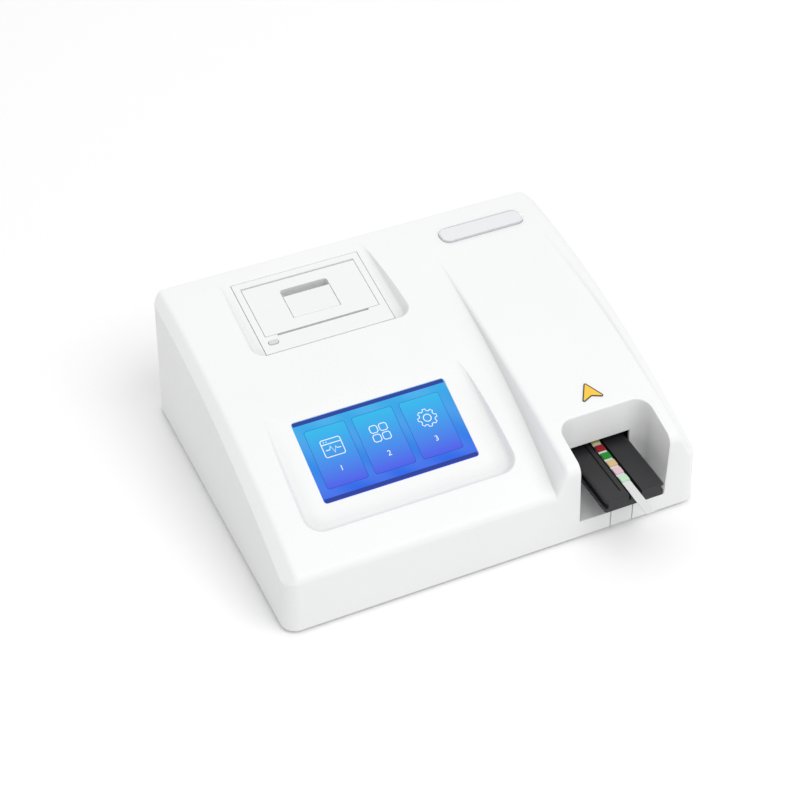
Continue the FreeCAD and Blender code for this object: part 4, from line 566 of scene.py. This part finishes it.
def add_plate(made, centre, size, corner, thick, seat, index=0, edge=0):
    """Add a plate with round corners, its underside at the given centre."""
    part = bmesh.new()
    square = bmesh.ops.create_grid(part, x_segments=1, y_segments=1, size=0.5)["verts"]
    bmesh.ops.scale(part, vec=(size[0], size[1], 1), verts=square)
    if corner:
        bmesh.ops.bevel(part, geom=square, offset=corner, offset_type="OFFSET",
                        segments=CORNER_STEPS, profile=0.5, affect="VERTICES", material=-1)
    raised = bmesh.ops.extrude_face_region(part, geom=part.faces[:], use_keep_orig=True)
    tops = [item for item in raised["geom"] if isinstance(item, bmesh.types.BMVert)]
    bmesh.ops.translate(part, vec=(0, 0, thick), verts=tops)
    bmesh.ops.recalc_face_normals(part, faces=part.faces)
    if edge:
        upper = [item for item in raised["geom"] if isinstance(item, bmesh.types.BMEdge)]
        bmesh.ops.bevel(part, geom=upper, offset=edge, offset_type="OFFSET",
                        segments=BEVEL_STEPS, profile=0.5, affect="EDGES", material=-1)
    bmesh.ops.transform(part, matrix=seat @ Matrix.Translation(centre), verts=part.verts)
    joined(part, made, index)


SCREEN_TILT = math.radians(22.1)
SCREEN_SPOT = Vector((-40.8, 4.5, 74.644)) * MM
SCREEN_SEAT = seat_at(SCREEN_SPOT, SCREEN_TILT)
trial = bmesh.new()
add_plate(trial, (0, 0, 0), (0.02, 0.01), 0.002, 0.001, Matrix.Identity(4))
print("a plate has open edges:", sum(1 for edge in trial.edges if len(edge.link_faces) != 2))
trial.free()

# %% [markdown]
# The touch screen glows, so its colours are emission. Each colour runs from one height on the slope
# to another. A Mapping node of the Texture kind turns the object's coordinates into the screen's
# own, and the height there drives the blend. The glass over it keeps a low roughness for gloss.

# %% Glowing finishes
LIT_LOW, LIT_HIGH = -63.2, -10.5
TILE_LOW, TILE_HIGH = -55.8, -17.5
SIGN_WHITE = (0.92, 0.95, 1.0)
STREAK_SCALE, STREAK_BEND, STREAK_DETAIL = 22, 3, 0.6


def glowing(name, low, high, start, end, streaks=0.0):
    """A lit gradient between two heights, given in millimetres up the screen's slope."""
    look = finish(name, (0.01, 0.02, 0.05), 0.14, 400, 0.0, 0.1, Specular_IOR_Level=0.25,
                  Emission_Strength=1.0)
    tree = look.node_tree
    place = add_node(tree, "TexCoord").outputs["Object"]
    local = add_node(tree, "Mapping", {
        "Vector": place, "Location": SCREEN_SPOT, "Rotation": (SCREEN_TILT, 0, 0)},
        vector_type="TEXTURE").outputs["Vector"]
    axes = add_node(tree, "SeparateXYZ", {"Vector": local})
    share = add_node(tree, "MapRange", {
        "Value": axes.outputs["Y"], "From Min": start * MM, "From Max": end * MM})
    colour = add_blend(tree, share.outputs["Result"], (*low, 1), (*high, 1))
    if streaks:
        wave = add_node(tree, "TexWave", {
            "Vector": local, "Scale": STREAK_SCALE, "Distortion": STREAK_BEND,
            "Detail Scale": STREAK_DETAIL}, bands_direction="DIAGONAL")
        colour = add_blend(tree, wave.outputs["Fac"], colour, (streaks, streaks, streaks, 1),
                           blend_type="ADD")
    feed(look, "Emission Color", colour)
    return look


SCREEN_LOOKS = [
    glowing("screen_back", (0.008, 0.085, 0.74), (0.020, 0.40, 0.74), LIT_LOW, LIT_HIGH, 0.03),
    glowing("screen_band", (0.006, 0.022, 0.26), (0.008, 0.028, 0.28), -64, -10),
    glowing("tile_edge", (0.006, 0.045, 0.42), (0.008, 0.15, 0.46), -56, -17),
    glowing("tile_face", (0.062, 0.080, 0.76), (0.014, 0.47, 0.78), TILE_LOW, TILE_HIGH),
    glowing("screen_sign", SIGN_WHITE, SIGN_WHITE, LIT_LOW, LIT_HIGH),
]
print("glowing finishes:", len(SCREEN_LOOKS))

# %% [markdown]
# The glass is remade as a plate with its own rounded corners. On it lie a dark band along the top
# and the bottom and three tiles, each a thin plate over a slightly larger one that shows as its
# outline. These are hundredths of a millimetre thick, like the layers of a printed overlay.

# %% Touch screen
GLASS_TOP, GLASS_UNDER = -0.4, -2.5
GLASS_LOW, GLASS_HIGH, GLASS_ROUND = -63.45, -10.35, 1.8
BAND, BAND_INSET, BAND_ROUND, BAND_THICK = 2.5, 0.4, 0.6, 0.02
TILE_CENTRES = (-30.15, -0.9, 28.6)
TILE_WIDE = 25.3
OUTLINE, OUTLINE_ROUND, OUTLINE_THICK = 0.3, 1.6, 0.03
TILE_ROUND, TILE_THICK = 1.4, 0.05
screen = bmesh.new()


def lay(left, right, low, high, corner, base, thick, index):
    """Lay a thin plate on the screen, sizes in millimetres along and up the slope."""
    add_plate(screen, Vector(((left + right) / 2, (low + high) / 2, base)) * MM,
              ((right - left) * MM, (high - low) * MM), corner * MM, thick * MM,
              SCREEN_SEAT, index)


glass_low, glass_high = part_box("touch_panel")
glass_half = (glass_high[0] - glass_low[0]) / 2 / MM
lay(-glass_half, glass_half, GLASS_LOW, GLASS_HIGH, GLASS_ROUND, GLASS_UNDER,
    GLASS_TOP - GLASS_UNDER, 0)
for low in (LIT_LOW, LIT_HIGH - BAND):
    lay(-glass_half + BAND_INSET, glass_half - BAND_INSET, low, low + BAND, BAND_ROUND,
        GLASS_TOP, BAND_THICK, 1)
for middle in TILE_CENTRES:
    left, right = middle - TILE_WIDE / 2, middle + TILE_WIDE / 2
    lay(left, right, TILE_LOW, TILE_HIGH, OUTLINE_ROUND, GLASS_TOP, OUTLINE_THICK, 2)
    lay(left + OUTLINE, right - OUTLINE, TILE_LOW + OUTLINE, TILE_HIGH - OUTLINE, TILE_ROUND,
        GLASS_TOP, TILE_THICK, 3)
screen_piece = even_shading(shown("screen_overlay", screen, SCREEN_LOOKS, "case",
                                  ["touch_panel"]))
print("screen:", len(screen_piece.data.polygons), "faces")

# %% [markdown]
# The signs on the tiles are line drawings, so they are curves with a round bevel, half sunk in the
# glass. A sheet with a pulse line, four squares and a toothed wheel say what each tile is for, and
# the tiles carry plain numbers. Each curve becomes a mesh before it gets its place.

# %% Helpers for lines and numbers
LINE_WELD = 0.001 * MM


def from_curve(curve, seat, made):
    """Add a curve's mesh to a bmesh at its seat, and remove the curve."""
    holder = bpy.data.objects.new("line", curve)
    scene.collection.objects.link(holder)
    part = bmesh.new()
    mesh = bpy.data.meshes.new_from_object(holder)
    part.from_mesh(mesh)
    bpy.data.meshes.remove(mesh)
    bpy.data.objects.remove(holder)
    bpy.data.curves.remove(curve)
    bmesh.ops.remove_doubles(part, verts=part.verts, dist=LINE_WELD)
    bmesh.ops.transform(part, matrix=seat, verts=part.verts)
    joined(part, made)


def add_line(made, points, radius, seat, closed=False):
    """Add a round line through flat points, sizes in millimetres."""
    curve = bpy.data.curves.new("line", "CURVE")
    curve.dimensions = "3D"
    curve.bevel_depth = radius * MM
    curve.bevel_resolution = 1
    curve.use_fill_caps = not closed
    spline = curve.splines.new("POLY")
    spline.points.add(len(points) - 1)
    for spot, (across, up) in zip(spline.points, points):
        spot.co = (across * MM, up * MM, 0, 1)
    spline.use_cyclic_u = closed
    from_curve(curve, seat, made)


def add_number(made, text, height, thick, seat):
    """Add a plain number as a thin raised plate, centred on its seat."""
    curve = bpy.data.curves.new("number", "FONT")
    curve.body = text
    curve.size = height * MM
    curve.extrude = thick * MM
    curve.align_x = "CENTER"
    curve.align_y = "CENTER"
    from_curve(curve, seat, made)


def ring(radius, count):
    """Points round a circle, in millimetres."""
    return [(radius * math.cos(math.tau * step / count),
             radius * math.sin(math.tau * step / count)) for step in range(count)]


def box_line(left, right, low, high, corner):
    """Points round a rectangle whose corners are cut by short slopes."""
    return [(left + corner, low), (right - corner, low), (right, low + corner),
            (right, high - corner), (right - corner, high), (left + corner, high),
            (left, high - corner), (left, low + corner)]


# %% [markdown]
# Each tile gets one sign above its number. Every sign has its own seat, in the middle of its tile,
# so its points are written round zero. The wheel's teeth come from four points per tooth.

# %% Signs on the tiles
LINE = 0.26
SIGN_UP, NUMBER_UP = -31.5, -45.5
NUMBER_HIGH, NUMBER_THICK = 4.8, 0.03
SIGN_BASE = GLASS_TOP + TILE_THICK
SHEET_HALF, SHEET_RISE, SHEET_CUT = 6, 5.5, 0.8
HEADER_UP, DOT_UP, DOT_LONG = 2.6, 4.05, 0.6
DOT_STARTS = (-4.4, -2.8)
PULSE = [(-4.6, -1.2), (-2.2, -1.2), (-1.2, 1.0), (0.4, -3.6), (1.7, 0.2), (2.4, -1.2), (4.6, -1.2)]
SQUARE, SQUARE_STEP, SQUARE_CUT = 4.6, 5.9, 0.9
TEETH, WHEEL_OUT, WHEEL_IN, HUB = 8, 5.8, 4.6, 2.3
ROOT_SWING, TIP_SWING = 0.26, 0.15
HUB_STEPS = 24


def sign_seat(middle, up=SIGN_UP):
    return SCREEN_SEAT @ Matrix.Translation(Vector((middle, up, SIGN_BASE)) * MM)


signs = bmesh.new()
sheet_seat, squares_seat, wheel_seat = [sign_seat(middle) for middle in TILE_CENTRES]
add_line(signs, box_line(-SHEET_HALF, SHEET_HALF, -SHEET_RISE, SHEET_RISE, SHEET_CUT), LINE,
         sheet_seat, closed=True)
add_line(signs, [(-SHEET_HALF, HEADER_UP), (SHEET_HALF, HEADER_UP)], LINE, sheet_seat)
for across in DOT_STARTS:
    add_line(signs, [(across, DOT_UP), (across + DOT_LONG, DOT_UP)], LINE, sheet_seat)
add_line(signs, PULSE, LINE, sheet_seat)
for side in (-0.5, 0.5):
    for end in (-0.5, 0.5):
        across, up = side * SQUARE_STEP, end * SQUARE_STEP
        half = SQUARE / 2
        add_line(signs, box_line(across - half, across + half, up - half, up + half, SQUARE_CUT),
                 LINE, squares_seat, closed=True)
wheel = []
for tooth in range(TEETH):
    middle_turn = math.tau * tooth / TEETH
    for radius, swing in ((WHEEL_IN, -ROOT_SWING), (WHEEL_OUT, -TIP_SWING),
                          (WHEEL_OUT, TIP_SWING), (WHEEL_IN, ROOT_SWING)):
        wheel.append((radius * math.cos(middle_turn + swing),
                      radius * math.sin(middle_turn + swing)))
add_line(signs, wheel, LINE, wheel_seat, closed=True)
add_line(signs, ring(HUB, HUB_STEPS), LINE, wheel_seat, closed=True)
for number, middle in enumerate(TILE_CENTRES, start=1):
    add_number(signs, str(number), NUMBER_HIGH, NUMBER_THICK, sign_seat(middle, NUMBER_UP))
signs_piece = shown("screen_signs", signs, [SCREEN_LOOKS[-1]], "case")
print("signs:", len(signs_piece.data.polygons), "faces")

# %% [markdown]
# A test strip is a white plastic film with a row of small felt pads, each soaked in another
# reagent, so each has its own colour. The pads are remade one by one with rounded tops. Felt is
# matt with a coarse grain.

# %% Reagent pads
PAD_COLOURS = [
    (0.52, 0.75, 0.55), (0.75, 0.51, 0.58), (0.68, 0.51, 0.26), (0.010, 0.26, 0.020),
    (0.30, 0.006, 0.010), (0.78, 0.72, 0.30), (0.62, 0.30, 0.52), (0.78, 0.62, 0.50),
    (0.30, 0.52, 0.56), (0.82, 0.76, 0.62), (0.72, 0.38, 0.14),
]
PAD_LONG, PAD_STEP = 5.0 * MM, 7.05 * MM
PAD_ROUND, PAD_EDGE = 0.3 * MM, 0.15 * MM
pads_low, pads_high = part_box("reagent_pads")
pads = bmesh.new()
pads_middle = (pads_low[0] + pads_high[0]) / 2
pads_wide, pads_thick = pads_high[0] - pads_low[0], pads_high[2] - pads_low[2]
for index in range(len(PAD_COLOURS)):
    start = pads_low[1] + PAD_STEP * index
    add_plate(pads, (pads_middle, start + PAD_LONG / 2, pads_low[2]), (pads_wide, PAD_LONG),
              PAD_ROUND, pads_thick, Matrix.Identity(4), index, PAD_EDGE)
pad_looks = [finish(f"pad_{index + 1}", colour, 0.9, 2600, 0.5, 0.10)
             for index, colour in enumerate(PAD_COLOURS)]
pads_piece = even_shading(shown("strip_pads", pads, pad_looks, body_of["reagent_pads"],
                                ["reagent_pads"]))
print("pads:", len(PAD_COLOURS), "with", len(pads_piece.data.polygons), "faces")

# %% [markdown]
# The name plate's place on the bay is kept, but the plate is blank. It has a raised rim round a
# sunk field, as cast or coined plates have. The arrow has the same build: a dark border round an
# amber field. Both are made from the frame's own mesh, whose top face is inset.

# %% Blank plate and arrow
UPWARD = 0.8


def inset_top(node, border, step, edge):
    """A softened copy of a plate whose top face is inset and moved down by a step."""
    made = whole_faces(welded(node))
    top = max((face for face in made.faces if face.normal.z > UPWARD),
              key=lambda face: face.calc_area())
    normal = top.normal.copy()
    bmesh.ops.inset_region(made, faces=[top], thickness=border, use_even_offset=True)
    for face in made.faces:
        face.material_index = 0
    top.material_index = 1
    bmesh.ops.translate(made, vec=normal * -step, verts=top.verts)
    rim = [item for item in made.edges if item.calc_face_angle(0) > SHARP]
    bmesh.ops.bevel(made, geom=rim, offset=edge, offset_type="OFFSET", segments=BEVEL_STEPS,
                    profile=0.5, affect="EDGES", material=-1)
    return made


field_look = finish("plate_field", (0.78, 0.79, 0.81), 0.40, 1800, 0.06, 0.02)
border_look = finish("mark_border", (0.03, 0.03, 0.032), 0.4, 1200, 0.05, 0.1)
badge_made = inset_top("badge_plate", border=1.1 * MM, step=0.35 * MM, edge=0.12 * MM)
badge = even_shading(shown("blank_badge", badge_made, [LOOKS["badge_silver"], field_look],
                           "case", ["badge_plate"]))
arrow_made = inset_top("marker_plate", border=0.7 * MM, step=0.02 * MM, edge=0.05 * MM)
arrow = even_shading(shown("bay_arrow", arrow_made, [border_look, LOOKS["mark_amber"]],
                           "case", ["marker_plate"]))
print("plate and arrow:", len(badge.data.polygons), len(arrow.data.polygons), "faces")

# %% [markdown]
# The sockets at the back have small parts inside that the frame leaves out. The serial socket gets
# a black insulator with nine pins in two rows. The USB socket's tongue gets a black skin with four
# contacts on its underside. Both look out along +Y; the serial parts are turned to face it.

# %% Insides of the sockets
PIN_ROWS = ((0.5, 5), (-0.5, 4))
PIN_STEP, ROW_STEP = 2.6 * MM, 2.84 * MM
PIN_RADIUS, PIN_LONG, PIN_SIDES, PIN_TIP = 0.5 * MM, 4.0 * MM, 16, 0.6
SHELL_DEEP = 5.0 * MM
INSULATOR, INSULATOR_ROUND, INSULATOR_THICK = (15.0 * MM, 6.2 * MM), 1.2 * MM, 2.0 * MM
TONGUE, TONGUE_ROUND, TONGUE_THICK = (11.9 * MM, 11.2 * MM), 0.3 * MM, 2.0 * MM
TONGUE_UP, TONGUE_IN = 0.7 * MM, 6.5 * MM
CONTACT, CONTACT_ROUND, CONTACT_THICK = (1.1 * MM, 8.0 * MM), 0.2 * MM, 0.12 * MM
CONTACT_STEPS = (-3.5, -1.0, 1.0, 3.5)
SKIN_EDGE = 0.15 * MM
TIP_STEPS = 3
OUT = Matrix.Rotation(math.radians(-90), 4, "X")


def add_pin(made, spot, radius, length, index):
    """Add a round pin with a softened tip that stands along +Y from its spot."""
    part = bmesh.new()
    bmesh.ops.create_cone(part, cap_ends=True, segments=PIN_SIDES, radius1=radius,
                          radius2=radius, depth=length)
    tip = [edge for edge in part.edges if all(end.co.z > 0 for end in edge.verts)]
    bmesh.ops.bevel(part, geom=tip, offset=radius * PIN_TIP, offset_type="OFFSET",
                    segments=TIP_STEPS, profile=0.5, affect="EDGES", material=-1)
    seat = Matrix.Translation(spot) @ OUT @ Matrix.Translation((0, 0, length / 2))
    bmesh.ops.transform(part, matrix=seat, verts=part.verts)
    joined(part, made, index)


serial_low, serial_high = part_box("serial_socket")
serial_middle = (Vector(serial_low) + Vector(serial_high)) / 2
serial_floor = serial_high[1] - SHELL_DEEP
serial_seat = Matrix.Translation((serial_middle[0], serial_floor, serial_middle[2])) @ OUT
serial = bmesh.new()
add_plate(serial, (0, 0, 0), INSULATOR, INSULATOR_ROUND, INSULATOR_THICK, serial_seat, 0,
          SKIN_EDGE)
for row, count in PIN_ROWS:
    for index in range(count):
        across = (index - (count - 1) / 2) * PIN_STEP
        spot = (serial_middle[0] + across, serial_floor, serial_middle[2] + row * ROW_STEP)
        add_pin(serial, spot, PIN_RADIUS, PIN_LONG, 1)
even_shading(shown("serial_pins", serial, [LOOKS["socket_black"], LOOKS["brass"]], "case"))

usb_low, usb_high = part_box("usb_socket")
usb_middle = (Vector(usb_low) + Vector(usb_high)) / 2
tongue_seat = Matrix.Translation((usb_middle[0], usb_high[1] - TONGUE_IN,
                                  usb_middle[2] + TONGUE_UP - TONGUE_THICK / 2))
usb = bmesh.new()
add_plate(usb, (0, 0, 0), TONGUE, TONGUE_ROUND, TONGUE_THICK, tongue_seat, 0, SKIN_EDGE)
for step in CONTACT_STEPS:
    add_plate(usb, (step * MM, 0, -CONTACT_THICK), CONTACT, CONTACT_ROUND, CONTACT_THICK,
              tongue_seat, 1)
even_shading(shown("usb_contacts", usb, [LOOKS["socket_black"], LOOKS["brass"]], "case"))
print("serial pins:", sum(count for row, count in PIN_ROWS), "usb contacts:", len(CONTACT_STEPS))
